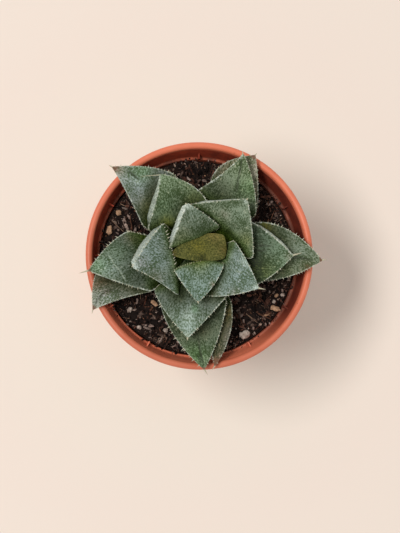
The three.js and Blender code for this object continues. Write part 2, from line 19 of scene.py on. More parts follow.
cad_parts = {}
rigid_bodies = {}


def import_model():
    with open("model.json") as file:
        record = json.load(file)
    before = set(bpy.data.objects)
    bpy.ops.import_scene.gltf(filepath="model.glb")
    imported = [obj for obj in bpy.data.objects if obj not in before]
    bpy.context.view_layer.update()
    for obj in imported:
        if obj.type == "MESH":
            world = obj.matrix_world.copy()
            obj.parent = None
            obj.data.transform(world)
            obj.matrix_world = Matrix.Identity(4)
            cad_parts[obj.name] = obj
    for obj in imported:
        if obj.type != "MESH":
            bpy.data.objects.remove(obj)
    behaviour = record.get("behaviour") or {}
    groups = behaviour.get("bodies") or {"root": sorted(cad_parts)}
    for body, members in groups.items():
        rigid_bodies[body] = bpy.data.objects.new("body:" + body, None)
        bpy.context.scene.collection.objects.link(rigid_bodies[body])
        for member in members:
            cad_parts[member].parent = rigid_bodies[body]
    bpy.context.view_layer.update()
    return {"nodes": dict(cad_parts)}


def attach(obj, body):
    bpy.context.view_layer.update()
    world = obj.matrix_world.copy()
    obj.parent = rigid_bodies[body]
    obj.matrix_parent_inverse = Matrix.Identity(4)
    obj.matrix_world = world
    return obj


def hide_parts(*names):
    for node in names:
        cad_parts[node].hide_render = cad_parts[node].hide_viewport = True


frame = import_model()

MM = 0.001
print("nodes in the frame:", len(frame["nodes"]))

# %% [markdown]
# ## Camera
#
# The photograph looks almost straight down from about 60 cm, leaning a little to the lower left.
# A camera could be aimed by eye, but the rim of the pot is a true circle of known size, so its
# place and its slight egg shape in the photograph fix the camera's direction and distance. A long
# lens then gives the picture's flat perspective.

# %% Camera
PICTURE = (400, 533)
TARGET = Vector((-0.18, -4.32, 75.0))
LEAN = Vector((-0.108, -0.093, 1.0)).normalized()
CAMERA_DISTANCE = 600.0
MM_PER_PIXEL = 0.3707
SENSOR_MM = 36.0
NEAREST_SEEN_M = 0.01


def aim(thing, position, target):
    """Puts a camera or light at position so that it looks at target, with +Y up in the picture."""
    back = (position - target).normalized()
    right = Vector((0, 1, 0)).cross(back).normalized()
    up = back.cross(right)
    turn = Matrix((right, up, back)).transposed().to_4x4()
    thing.matrix_world = Matrix.Translation(position * MM) @ turn


lens_data = bpy.data.cameras.new("photo_camera")
lens_data.sensor_fit = "VERTICAL"
lens_data.sensor_height = SENSOR_MM
lens_data.lens = SENSOR_MM * CAMERA_DISTANCE / (PICTURE[1] * MM_PER_PIXEL)
lens_data.clip_start = NEAREST_SEEN_M
camera = bpy.data.objects.new("photo_camera", lens_data)
bpy.context.scene.collection.objects.link(camera)
aim(camera, TARGET + CAMERA_DISTANCE * LEAN, TARGET)
bpy.context.scene.camera = camera
print("lens mm:", round(lens_data.lens, 1))

# %% [markdown]
# ## Mesh helpers
#
# Every piece below is worked out in millimetres, like the CAD, and turned into a Blender mesh at
# a thousandth of the size. Colours are written as they look on screen, from 0 to 255, and turned
# into the linear values that shaders work with.


# %% Helpers for meshes and colours
def linear(red, green, blue):
    """A screen colour, 0 to 255, as linear values with an alpha of 1."""
    shares = [channel / 255 for channel in (red, green, blue)]
    values = [s / 12.92 if s <= 0.04045 else ((s + 0.055) / 1.055) ** 2.4 for s in shares]
    return (*values, 1.0)


def smooth(mesh, sharp_degrees):
    """Smooth shading but for edges sharper than the limit."""
    mesh.shade_smooth()
    if sharp_degrees < 180:
        mesh.set_sharp_from_angle(angle=math.radians(sharp_degrees))


def make_piece(name, points, faces, material, sharp_degrees=180):
    """A mesh object from points in millimetres, smooth but for edges sharper than the limit."""
    mesh = bpy.data.meshes.new(name)
    mesh.from_pydata((np.asarray(points, float) * MM).tolist(), [], faces)
    mesh.validate()
    smooth(mesh, sharp_degrees)
    mesh.materials.append(material)
    piece = bpy.data.objects.new(name, mesh)
    bpy.context.scene.collection.objects.link(piece)
    return piece


def seat(piece, slot, *nodes):
    """Lets a piece ride on the one body and hides the nodes it stands for; its slot is not used."""
    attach(piece, "root")
    if nodes:
        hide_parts(*nodes)
    print(piece.name, "faces:", len(piece.data.polygons))
    return piece


def store(piece, name, values, kind="FLOAT"):
    """Keeps one value for each point of a piece's mesh under a name that materials can read."""
    layer = piece.data.attributes.new(name, kind, "POINT")
    field = {"FLOAT": "value", "FLOAT_COLOR": "color"}[kind]
    layer.data.foreach_set(field, np.asarray(values, np.float32).ravel())


def points_mm(piece):
    """The points of a piece's mesh in millimetres, one row each."""
    values = np.zeros(len(piece.data.vertices) * 3, np.float32)
    piece.data.vertices.foreach_get("co", values)
    return values.reshape(-1, 3).astype(float) / MM


def point_tree(points):
    """A search tree that finds the nearest of some points."""
    found = kdtree.KDTree(len(points))
    for i, point in enumerate(points):
        found.insert(point, i)
    found.balance()
    return found


def apply_modifiers(piece):
    """Makes the shape that a piece's modifiers give it its own mesh."""
    bpy.context.view_layer.update()
    depsgraph = bpy.context.evaluated_depsgraph_get()
    made = bpy.data.meshes.new_from_object(piece.evaluated_get(depsgraph))
    piece.modifiers.clear()
    old, name = piece.data, piece.data.name
    piece.data = made
    bpy.data.meshes.remove(old)
    made.name = name


def carve(piece, cutters, operation="DIFFERENCE"):
    """Cuts a group of closed meshes out of a piece, or joins them to it, and removes them."""
    group = bpy.data.collections.new("cutters")
    bpy.context.scene.collection.children.link(group)
    for cutter in cutters:
        for owner in list(cutter.users_collection):
            owner.objects.unlink(cutter)
        group.objects.link(cutter)
    tool = piece.modifiers.new("carve", "BOOLEAN")
    tool.operation = operation
    tool.solver = "MANIFOLD"
    tool.operand_type = "COLLECTION"
    tool.collection = group
    apply_modifiers(piece)
    for cutter in list(group.objects):
        mesh = cutter.data
        bpy.data.objects.remove(cutter)
        if mesh.users == 0:
            bpy.data.meshes.remove(mesh)
    bpy.data.collections.remove(group)


# %% [markdown]
# ## Node helpers and shared effects
#
# A living or moulded surface is never one colour. Two effects come back in nearly every material
# here: a slow cloudy change between two colours, and scattered specks. Each is built once as a
# node group with named inputs and outputs, and each material gives it its own values. The groups
# put out colours, masks and heights only. The shader itself stays in the material.


# %% Helpers for nodes
def fill(tree, node, inputs):
    """Sets a node's inputs to values or wires them to sockets."""
    for key, value in inputs.items():
        if isinstance(value, bpy.types.NodeSocket):
            tree.links.new(value, node.inputs[key])
        else:
            node.inputs[key].default_value = value


def add_node(tree, kind, inputs=None, **settings):
    """A node with its settings and its filled or wired inputs."""
    node = tree.nodes.new(kind)
    for key, value in settings.items():
        setattr(node, key, value)
    fill(tree, node, inputs or {})
    return node


def mix(tree, share, first, second, blend="MIX"):
    """One colour socket between two colours."""
    node = add_node(tree, "ShaderNodeMix", {0: share, 6: first, 7: second},
                    data_type="RGBA", blend_type=blend)
    return node.outputs[2]


def tinted(tree, colour, tint):
    """A colour multiplied by another one."""
    return mix(tree, 1.0, colour, tint, "MULTIPLY")


def calc(tree, operation, first, second=0.0, clamp=False):
    """One number socket from two numbers."""
    node = add_node(tree, "ShaderNodeMath", {0: first, 1: second}, operation=operation, use_clamp=clamp)
    return node.outputs[0]


def product(tree, first, *others, clamp=False):
    """Some numbers multiplied with each other."""
    for other in others:
        first = calc(tree, "MULTIPLY", first, other, clamp)
    return first


def total(tree, first, *others, clamp=False):
    """Some numbers added up."""
    for other in others:
        first = calc(tree, "ADD", first, other, clamp)
    return first


def swing(tree, value, amount):
    """How far a number from 0 to 1 lies from its middle, times an amount."""
    return product(tree, calc(tree, "SUBTRACT", value, 0.5), amount)


def fade(tree, value, start, end, low=0.0, high=1.0, kind="SMOOTHSTEP"):
    """A number that goes from low to high while value goes from start to end."""
    inputs = {"Value": value, "From Min": start, "From Max": end, "To Min": low, "To Max": high}
    return add_node(tree, "ShaderNodeMapRange", inputs, interpolation_type=kind).outputs["Result"]


def attribute(tree, name, output="Fac"):
    """A value that the mesh carries at its points."""
    return add_node(tree, "ShaderNodeAttribute", attribute_name=name).outputs[output]


def on_vectors(tree, operation, inputs, output="Vector"):
    """A vector or a number worked out from vectors."""
    return add_node(tree, "ShaderNodeVectorMath", inputs, operation=operation).outputs[output]


def place_mm(tree):
    """The object's own coordinates in millimetres."""
    coordinates = add_node(tree, "ShaderNodeTexCoord").outputs["Object"]
    return on_vectors(tree, "SCALE", {0: coordinates, "Scale": 1 / MM})


def ripples(tree, place, scale, detail, roughness=0.5):
    """Noise over a place, as a number from 0 to 1."""
    inputs = {"Vector": place, "Scale": scale, "Detail": detail, "Roughness": roughness}
    return add_node(tree, "ShaderNodeTexNoise", inputs).outputs["Fac"]


def new_group(name, inputs, outputs):
    """A shader node group with named sockets, its input node and its output node."""
    tree = bpy.data.node_groups.new(name, "ShaderNodeTree")
    for label, kind, value in inputs:
        socket = tree.interface.new_socket(name=label, in_out="INPUT", socket_type=kind)
        socket.default_value = value
    for label, kind in outputs:
        tree.interface.new_socket(name=label, in_out="OUTPUT", socket_type=kind)
    return tree, tree.nodes.new("NodeGroupInput"), tree.nodes.new("NodeGroupOutput")


def grey(tree, value):
    """A number as a colour, to multiply another colour with."""
    return add_node(tree, "ShaderNodeCombineColor", {0: value, 1: value, 2: value}).outputs[0]


# %% Shared effect: cloudy tone
VECTOR, FLOAT, COLOUR = "NodeSocketVector", "NodeSocketFloat", "NodeSocketColor"
BLACK, WHITE = (0.0, 0.0, 0.0, 1.0), (1.0, 1.0, 1.0, 1.0)
CLOUD_DETAIL, CLOUD_ROUGHNESS, CLOUD_STEEPNESS = 4.0, 0.6, 3.0

cloudy_tone, source, result = new_group(
    "Cloudy tone",
    [("Place", VECTOR, (0, 0, 0)), ("Scale", FLOAT, 0.1), ("Contrast", FLOAT, 1.0),
     ("Low", COLOUR, BLACK), ("High", COLOUR, WHITE)],
    [("Color", COLOUR), ("Mask", FLOAT)],
)
given = source.outputs
clouds = ripples(cloudy_tone, given["Place"], given["Scale"], CLOUD_DETAIL, CLOUD_ROUGHNESS)
spread = swing(cloudy_tone, clouds, product(cloudy_tone, given["Contrast"], CLOUD_STEEPNESS))
cloud_mask = total(cloudy_tone, spread, 0.5, clamp=True)
cloud_colour = mix(cloudy_tone, cloud_mask, given["Low"], given["High"])
fill(cloudy_tone, result, {"Mask": cloud_mask, "Color": cloud_colour})
print("group:", cloudy_tone.name)

# %% Shared effect: specks
specks, source, result = new_group(
    "Specks",
    [("Place", VECTOR, (0, 0, 0)), ("Scale", FLOAT, 1.0), ("Size", FLOAT, 0.3), ("Share", FLOAT, 0.5)],
    [("Mask", FLOAT), ("Tint", FLOAT)],
)
given = source.outputs
cells = add_node(specks, "ShaderNodeTexVoronoi", {"Vector": given["Place"], "Scale": given["Scale"]},
                 feature="F1").outputs
lottery = add_node(specks, "ShaderNodeSeparateColor", {"Color": cells["Color"]}).outputs
chosen = calc(specks, "LESS_THAN", lottery[0], given["Share"])
near = fade(specks, cells["Distance"], given["Size"], 0.0)
fill(specks, result, {"Mask": product(specks, near, chosen), "Tint": lottery[1]})
print("group:", specks.name)


def cloudy(tree, place, scale, contrast, low=BLACK, high=WHITE):
    """The cloudy tone group placed in a material: its colour and its mask."""
    node = add_node(tree, "ShaderNodeGroup", node_tree=cloudy_tone)
    fill(tree, node, {"Place": place, "Scale": scale, "Contrast": contrast, "Low": low, "High": high})
    return node.outputs["Color"], node.outputs["Mask"]


def speckled(tree, place, scale, size, share):
    """The specks group placed in a material: its mask and a random tint for each speck."""
    node = add_node(tree, "ShaderNodeGroup", node_tree=specks)
    fill(tree, node, {"Place": place, "Scale": scale, "Size": size, "Share": share})
    return node.outputs["Mask"], node.outputs["Tint"]


def new_material(name, roughness, specular=0.5):
    """A material with an empty Principled shader, its node tree and the shader."""
    material = bpy.data.materials.new(name)
    material.use_nodes = True
    tree = material.node_tree
    shader = tree.nodes["Principled BSDF"]
    fill(tree, shader, {"Roughness": roughness, "Specular IOR Level": specular})
    return material, tree, shader


def raise_relief(tree, shader, height, distance_mm):
    """Turns a height into bumps on the shader."""
    bump = add_node(tree, "ShaderNodeBump", {"Distance": distance_mm * MM, "Height": height})
    fill(tree, shader, {"Normal": bump.outputs["Normal"]})


# %% [markdown]
# ## The studio
#
# The pot stands on a plain pale surface. In the photograph its shadow falls to the right, and its
# edge is about 9 mm wide there but twice as soft towards the top and bottom, as from a window that
# is taller than wide. So one oval soft light stands to the left, 27 degrees from overhead, long
# in the picture's upright direction. The surface inside the shadow keeps half of its brightness,
# so a plain even sky gives as much light as the lamp does.

# %% Floor, lamp and sky
FLOOR_COLOUR, FLOOR_PALE = linear(244, 230, 217), linear(245, 231, 218)
# Near the pot the floor is painted less pink, offsetting the reddish bounce light the pot throws on it
FLOOR_NEAR, NEAR_STARTS, NEAR_FULL = linear(243, 236, 222), 110.0, 50.0
FLOOR_HALF, FLOOR_HEIGHT = 900.0, -0.05
LIGHT_DIRECTION = Vector((-0.507, 0.027, 1.0)).normalized()
LIGHT_DISTANCE = 3000.0
LIGHT_WIDTH, LIGHT_LENGTH = 0.62, 1.5
LIGHT_WATTS = 50.0
LIGHT_COLOUR = (1.0, 0.985, 0.97)
LIGHT_TARGET = Vector((0.0, 0.0, 70.0))
SKY_STRENGTH = 0.5

floor_material, tree, shader = new_material("pale_floor", 0.8, specular=0.1)
place = place_mm(tree)
floor_tone, _ = cloudy(tree, place, scale=0.02, contrast=0.3, low=FLOOR_COLOUR, high=FLOOR_PALE)
from_pot = on_vectors(tree, "LENGTH", {0: place}, "Value")
# Painted offset of the pot's bounce light near the pot
floor_tone = mix(tree, fade(tree, from_pot, NEAR_STARTS, NEAR_FULL), floor_tone, FLOOR_NEAR)
fill(tree, shader, {"Base Color": floor_tone})
floor_corners = [(x * FLOOR_HALF, y * FLOOR_HALF, FLOOR_HEIGHT)
                 for x, y in ((-1, -1), (1, -1), (1, 1), (-1, 1))]
floor = make_piece("floor", floor_corners, [(0, 1, 2, 3)], floor_material)

lamp_data = bpy.data.lights.new("soft_key", "AREA")
lamp_data.shape = "ELLIPSE"
lamp_data.size = LIGHT_WIDTH
lamp_data.size_y = LIGHT_LENGTH
lamp_data.energy = LIGHT_WATTS
lamp_data.color = LIGHT_COLOUR
lamp = bpy.data.objects.new("soft_key", lamp_data)
bpy.context.scene.collection.objects.link(lamp)
aim(lamp, LIGHT_DIRECTION * LIGHT_DISTANCE, LIGHT_TARGET)

sky = bpy.data.worlds.new("even_sky")
sky.use_nodes = True
fill(sky.node_tree, sky.node_tree.nodes["Background"], {"Color": WHITE, "Strength": SKY_STRENGTH})
bpy.context.scene.world = sky
bpy.context.scene.view_settings.view_transform = "Standard"
print("lamp at", tuple(round(v, 2) for v in lamp.location))

# %% [markdown]
# ## The pot
#
# A nursery pot like this is injection moulded from satin polypropylene in one piece: a tapering
# body, a wider collar that stacks on the next pot, a rounded lip, and a ledge inside with short
# ribs. It is round, so its outline is turned about the axis like clay on a wheel. The outline is
# the CAD's own, with its corners rounded and four times as many sides, so that the rim shows no
# facets. Ribs are joined and drain holes cut with one boolean each.

# %% Outline of the pot
RIM_RADIUS, POT_HEIGHT, BASE_RADIUS = 42.5, 75.0, 29.5
LIP_WIDTH, LIP_DEPTH = 2.6, 2.2
COLLAR_DEPTH, WALL, BOTTOM = 8.3, 1.1, 1.3
LEDGE_WIDTH = 0.9
FOOT_ROUND = 3.0
POT_SIDES = 192
BODY_TOP = POT_HEIGHT - COLLAR_DEPTH - 1
BODY_TOP_RADIUS = RIM_RADIUS - 4.4
COLLAR_FOOT_RADIUS, COLLAR_TOP_RADIUS = RIM_RADIUS - 3.1, RIM_RADIUS - 1.3
LEDGE_HEIGHT = POT_HEIGHT - COLLAR_DEPTH
UNDERSIDE_RINGS = (8, 16, 22)
BODY_RINGS = (12, 25, 38, 52, 62)


def outer_wall(height):
    """Radius of the outside of the tapering body."""
    return np.interp(height, [FOOT_ROUND, BODY_TOP], [BASE_RADIUS, BODY_TOP_RADIUS])


def inner_wall(height):
    """Radius of the inside of the tapering body."""
    return outer_wall(height) - WALL


LEDGE_OUTER = inner_wall(BODY_TOP) + LEDGE_WIDTH
BOTTOM_FLAT = inner_wall(BOTTOM + FOOT_ROUND) - FOOT_ROUND


def arc(radius, height, size, start, end, steps):
    """Points of an outline along an arc, with angles from the outward direction."""
    angles = np.radians(np.linspace(start, end, steps + 1))
    return [(radius + size * math.cos(a), height + size * math.sin(a)) for a in angles]


def pot_outline():
    """The outline of the pot as radius and height, from the middle of its underside. Close points,
    a few tenths of a millimetre apart, round its corners."""
    round_lip = LIP_WIDTH / 2
    collar_top = POT_HEIGHT - LIP_DEPTH
    return [
        (0, 0),
        *[(r, 0) for r in UNDERSIDE_RINGS],
        *arc(BASE_RADIUS - FOOT_ROUND, FOOT_ROUND, FOOT_ROUND, -90, -9, 9),
        *[(outer_wall(h), h) for h in BODY_RINGS],
        (BODY_TOP_RADIUS - 0.03, BODY_TOP - 0.3),
        (BODY_TOP_RADIUS + 0.3, BODY_TOP),
        (COLLAR_FOOT_RADIUS - 0.2, BODY_TOP + 0.25),
        (COLLAR_FOOT_RADIUS, BODY_TOP + 0.5),
        ((COLLAR_FOOT_RADIUS + COLLAR_TOP_RADIUS) / 2, (BODY_TOP + collar_top) / 2),
        (COLLAR_TOP_RADIUS, collar_top - 0.4),
        *arc(RIM_RADIUS - round_lip, POT_HEIGHT - round_lip, round_lip, -75, 215, 22),
        (RIM_RADIUS - LIP_WIDTH - 0.05, collar_top - 0.2),
        (LEDGE_OUTER + 0.95, (LEDGE_HEIGHT + collar_top) / 2),
        (LEDGE_OUTER + 0.05, LEDGE_HEIGHT + 0.4),
        (LEDGE_OUTER - 0.1, LEDGE_HEIGHT + 0.1),
        (LEDGE_OUTER - 0.3, LEDGE_HEIGHT),
        (inner_wall(BODY_TOP) + 0.15, LEDGE_HEIGHT - 0.15),
        (inner_wall(BODY_TOP), LEDGE_HEIGHT - 0.4),
        (inner_wall(BODY_TOP) - 0.1, LEDGE_HEIGHT - 1.2),
        *[(inner_wall(h), h) for h in reversed(BODY_RINGS[:-1])],
        *arc(BOTTOM_FLAT, BOTTOM + FOOT_ROUND, FOOT_ROUND, -9, -90, 6),
        *[(r, BOTTOM) for r in reversed(UNDERSIDE_RINGS)],
        (0, BOTTOM),
    ]


def skin_faces(rows, size):
    """Faces of a closed skin over rows of points, with one more point before and after them."""
    last = 1 + rows * size
    faces = []
    for j in range(size):
        k = (j + 1) % size
        faces.append((0, 1 + k, 1 + j))
        for i in range(rows - 1):
            a, b = 1 + i * size, 1 + (i + 1) * size
            faces.append((a + j, a + k, b + k, b + j))
        top = 1 + (rows - 1) * size
        faces.append((top + j, top + k, last))
    return faces


def circle(radius, height, sides, centre=(0.0, 0.0)):
    """Points of a level circle."""
    angles = np.linspace(0, 2 * math.pi, sides, endpoint=False)
    return [(centre[0] + radius * math.cos(a), centre[1] + radius * math.sin(a), height) for a in angles]


def turn(outline, sides, centre=(0.0, 0.0)):
    """Points and faces of an outline turned about an axis. Its ends lie on the axis."""
    points = [(*centre, outline[0][1])]
    for radius, height in outline[1:-1]:
        points += circle(radius, height, sides, centre)
    points.append((*centre, outline[-1][1]))
    return points, skin_faces(len(outline) - 2, sides)


print("points of the outline:", len(pot_outline()))


# %% [markdown]
# ### Terracotta-coloured plastic
#
# The plastic is dyed through, a soft orange-red, smooth but not shiny, with faint cloudiness. A
# slow change round the pot is painted light and shade: the outside is painted lighter towards the
# upper right and darker opposite, and inside, below the lip, the lower left wall is painted the
# lighter one. The inside wall below the lip is painted darker, as the shade inside the pot together
# with damp staining where water and peat have stood. That darkening is painted lighter on the left,
# as bounced light, and darker on the right, as shade, and it is left off at the near side, which is
# thus painted lighter as if lit. The dust of the mix gathers on the ledge, less of it at the near
# side and more on the right half. An image could hold all this, but masks are easier to move: one
# that the mesh carries says which points lie inside, and the height and the direction from the
# axis do the rest.

# %% Material of the pot
POT_LIGHT, POT_DEEP = linear(226, 126, 94), linear(214, 112, 81)
# The inside wall below the lip is painted darker: painted shade inside the pot together with damp staining
STAIN_AND_SHADE_PALE, STAIN_AND_SHADE_DARK = linear(132, 48, 26), linear(104, 36, 19)
DUST_COLOUR = linear(70, 44, 36)
LIP_FOOT_LOW, LIP_FOOT_HIGH = 72.3, 73.0
DUST_LOW, DUST_HIGH = 66.9, 67.6
POT_ROUGHNESS, STAINED_ROUGHNESS = 0.42, 0.75
# Sides of the pot as directions divided by the radius where they count, so that a point's
# share towards a side is 1 right there and -1 opposite
# The outside is painted lighter towards this side and darker opposite, as painted light and shade
PAINTED_LIGHT_SIDE = (0.5 / 42, 0.85 / 42, 0.0)
# The near side, where the inside wall is left lighter, as painted light
PAINTED_LIT_NEAR_SIDE = (-0.26 / 38, -0.97 / 38, 0.0)
# The side where the inside wall is painted lighter, as bounced light
PAINTED_BOUNCE_SIDE = (-1.0 / 38, 0.1 / 38, 0.0)
PAINTED_SHADE_TONE, PAINTED_LIGHT_TONE = (0.87, 0.87, 0.87, 1.0), (1.16, 1.16, 1.16, 1.0)
# Painted shade on the right of the inside wall and painted bounced light on its left
PAINTED_WALL_SHADE_TONE, PAINTED_BOUNCE_TONE = (0.68, 0.68, 0.68, 1.0), (1.95, 1.95, 1.95, 1.0)
# Inside, below the lip, the painted light turns round onto the opposite wall
PAINTED_LIGHT_INSIDE = -0.9
STAIN_AND_SHADE_ON_LEDGE, DUST_ON_LEDGE, DUST_ON_NEAR_SIDE, RIGHT_HALF_DUST = 0.25, 0.75, 0.3, 0.6
GRAIN_STRENGTH = 0.7


def share_towards(tree, place, side):
    """From -1 on the far side of the pot to 1 on the given side."""
    return on_vectors(tree, "DOT_PRODUCT", {0: place, 1: side}, "Value")


pot_plastic, tree, shader = new_material("pot_plastic", POT_ROUGHNESS, specular=0.35)
place = place_mm(tree)
height_mm = add_node(tree, "ShaderNodeSeparateXYZ", {0: place}).outputs[2]
inside = attribute(tree, "inside")
below_lip = product(tree, inside, fade(tree, height_mm, LIP_FOOT_HIGH, LIP_FOOT_LOW))

# Painted light and shade round the pot, turned round on the inside wall below the lip
facing = fade(tree, below_lip, 0.0, 1.0, 1.0, PAINTED_LIGHT_INSIDE)
painted_light_share = product(tree, share_towards(tree, place, PAINTED_LIGHT_SIDE), facing)
painted_light_and_shade = mix(tree, fade(tree, painted_light_share, -1.0, 1.0), PAINTED_SHADE_TONE, PAINTED_LIGHT_TONE)
plastic_tone, _ = cloudy(tree, place, scale=0.12, contrast=0.6, low=POT_DEEP, high=POT_LIGHT)
plastic_tone = tinted(tree, plastic_tone, painted_light_and_shade)

# Painted bounced light on the left of the inside wall, painted shade on its right
toward_bounce_side = fade(tree, share_towards(tree, place, PAINTED_BOUNCE_SIDE), -0.9, 0.9)
# Towards the near side the darkening and the dust are left off, as painted light
away_from_near_side = fade(tree, share_towards(tree, place, PAINTED_LIT_NEAR_SIDE), 0.2, 0.9, 1.0, 0.0)
# Painted shade and damp staining on the inside wall below the lip
stain_and_shade_tone, _ = cloudy(tree, place, scale=0.3, contrast=1.0, low=STAIN_AND_SHADE_DARK, high=STAIN_AND_SHADE_PALE)
stain_and_shade_tone = tinted(tree, stain_and_shade_tone, mix(tree, toward_bounce_side, PAINTED_WALL_SHADE_TONE, PAINTED_BOUNCE_TONE))
stain_and_shade_by_height = fade(tree, height_mm, DUST_LOW, DUST_HIGH, STAIN_AND_SHADE_ON_LEDGE, 1.0)
stain_and_shade = product(tree, below_lip, stain_and_shade_by_height, away_from_near_side)
plastic_tone = mix(tree, stain_and_shade, plastic_tone, stain_and_shade_tone)

_, dust_patches = cloudy(tree, place, scale=0.35, contrast=1.2)
# More dust on the right half of the ledge
dust_cover = total(tree, dust_patches, fade(tree, toward_bounce_side, 0.0, 0.5, RIGHT_HALF_DUST, 0.0), clamp=True)
dust_by_height = fade(tree, height_mm, DUST_HIGH, DUST_LOW, 0.0, DUST_ON_LEDGE)
dust_by_side = fade(tree, away_from_near_side, 0.0, 1.0, DUST_ON_NEAR_SIDE, 1.0)
dust = product(tree, inside, dust_by_height, dust_cover, dust_by_side)
grains, _ = speckled(tree, place, scale=1.1, size=0.35, share=0.12)
dust = calc(tree, "MAXIMUM", dust, product(tree, grains, GRAIN_STRENGTH, inside))
worn = fade(tree, calc(tree, "MAXIMUM", dust, stain_and_shade), 0.0, 1.0, POT_ROUGHNESS, STAINED_ROUGHNESS)
fill(tree, shader, {"Base Color": mix(tree, dust, plastic_tone, DUST_COLOUR), "Roughness": worn})
raise_relief(tree, shader, ripples(tree, place, scale=1.6, detail=3.0), distance_mm=0.03)
print("material:", pot_plastic.name)


# %% Build the pot
def cylinder(name, radius, low, high, sides, centre):
    """A closed cylinder used as a cutter."""
    points, faces = turn([(0, low), (radius, low), (radius, high), (0, high)], sides, centre)
    return make_piece(name, points, faces, pot_plastic)


def block(name, low, high, angle):
    """A closed box turned about the pot's axis."""
    corners = [(x, y, z) for z in (low[2], high[2]) for x, y in
               ((low[0], low[1]), (high[0], low[1]), (high[0], high[1]), (low[0], high[1]))]
    c, s = math.cos(angle), math.sin(angle)
    points = [(x * c - y * s, x * s + y * c, z) for x, y, z in corners]
    faces = [(0, 3, 2, 1), (4, 5, 6, 7), (0, 1, 5, 4), (1, 2, 6, 5), (2, 3, 7, 6), (3, 0, 4, 7)]
    return make_piece(name, points, faces, pot_plastic)


RIB_COUNT, RIB_REACH, RIB_HALF, RIB_HEIGHT, RIB_SUNK = 12, 1.0, 0.25, 3.0, 0.4
DRAIN_COUNT, DRAIN_RADIUS, DRAIN_CIRCLE = 8, 2.6, 19.0
DRAIN_SIDES, DRAIN_OVERCUT = 40, 3
POT_EDGE_DEGREES = 40
INTO_BODY, INTO_COLLAR = 0.5, 0.7

pot = make_piece("nursery_pot", *turn(pot_outline(), POT_SIDES), pot_plastic)
ribs = [block("rib", (LEDGE_OUTER - RIB_REACH, -RIB_HALF, LEDGE_HEIGHT - RIB_SUNK),
              (LEDGE_OUTER + WALL, RIB_HALF, LEDGE_HEIGHT + RIB_HEIGHT), 2 * math.pi * i / RIB_COUNT)
        for i in range(RIB_COUNT)]
carve(pot, ribs, "UNION")
drains = []
for i in range(DRAIN_COUNT):
    angle = 2 * math.pi * (i + 0.5) / DRAIN_COUNT
    centre = (DRAIN_CIRCLE * math.cos(angle), DRAIN_CIRCLE * math.sin(angle))
    low, high = -DRAIN_OVERCUT, BOTTOM + DRAIN_OVERCUT
    drains.append(cylinder("drain", DRAIN_RADIUS, low, high, DRAIN_SIDES, centre))
carve(pot, drains)
smooth(pot.data, POT_EDGE_DEGREES)

# Points nearer to the axis than the middle of the wall belong to its inner side
pot_points = points_mm(pot)
pot_radius = np.hypot(pot_points[:, 0], pot_points[:, 1])
wall_middle = np.interp(
    pot_points[:, 2], [FOOT_ROUND, BODY_TOP, BODY_TOP + 0.5, POT_HEIGHT - LIP_DEPTH],
    [BASE_RADIUS - INTO_BODY, BODY_TOP_RADIUS - INTO_BODY,
     COLLAR_FOOT_RADIUS - INTO_COLLAR, COLLAR_TOP_RADIUS - INTO_COLLAR])
store(pot, "inside", (pot_radius < wall_middle) & (pot_points[:, 2] > 1.0))
seat(pot, "pot_plastic", "pot")

# %% [markdown]
# ## The potting mix
#
# The pot is full of a dark mix of peat, shredded bark and grit. Its body is one closed mass whose
# top follows the CAD's waves, with finer lumps added. A flat sheet with a bump map would look
# painted, so the loose bits on top are real meshes: thousands of small faceted crumbs, each with
# its own size, turn and seat. They come in six families: peat, the drier bits that roll to the
# edge, bark, pale grit, thin fibres, and what has spilled on the pot's ledge. Each family is joined
# into one mesh, because particles and instances are lost when the model is exported. No crumb
# lies on the chips that the CAD names, so these stay in sight.

# %% Shape of the mix
SOIL_EDGE_HEIGHT, SOIL_RISE, SOIL_ROUGHNESS = 65.9, 1.0, 0.55
COARSE_PER_MM, COARSE_HEIGHT = 0.45, 0.5
FINE_PER_MM, FINE_HEIGHT, FINE_SHIFT = 1.7, 0.28, Vector((7, 3, 1))
GAP = 0.3
MIX_TOP_RADIUS = inner_wall(BODY_TOP - 2) - GAP
CALM_EDGE = 1.5
MIX_SIDE_HEIGHTS = (52.0, 36.0, 20.0, 6.0)
MIX_RINGS, MIX_SIDES = 100, 260


def soil_height(x, y):
    """Height of the CAD's own top of the mix."""
    radius = np.hypot(x, y)
    rise = SOIL_RISE * (1 - (radius / BODY_TOP_RADIUS) ** 2)
    lumps = (np.sin(x * 0.71 + 1.3) * np.sin(y * 0.63 + 0.4)
             + 0.6 * np.sin(x * 1.37 - y * 0.9) * np.cos(y * 1.21 + x * 0.5))
    calm = np.minimum(1, (BODY_TOP_RADIUS - radius) / 3 + 0.2)
    return SOIL_EDGE_HEIGHT + rise + SOIL_ROUGHNESS * lumps * calm


def fine_lumps(x, y):
    """Lumps of peat half a millimetre to three millimetres across."""
    at = Vector((x, y, 0.0))
    coarse = noise.fractal(at * COARSE_PER_MM, 0.8, 2.1, 3)
    fine = noise.fractal(at * FINE_PER_MM + FINE_SHIFT, 0.7, 2.0, 2)
    return COARSE_HEIGHT * coarse + FINE_HEIGHT * fine


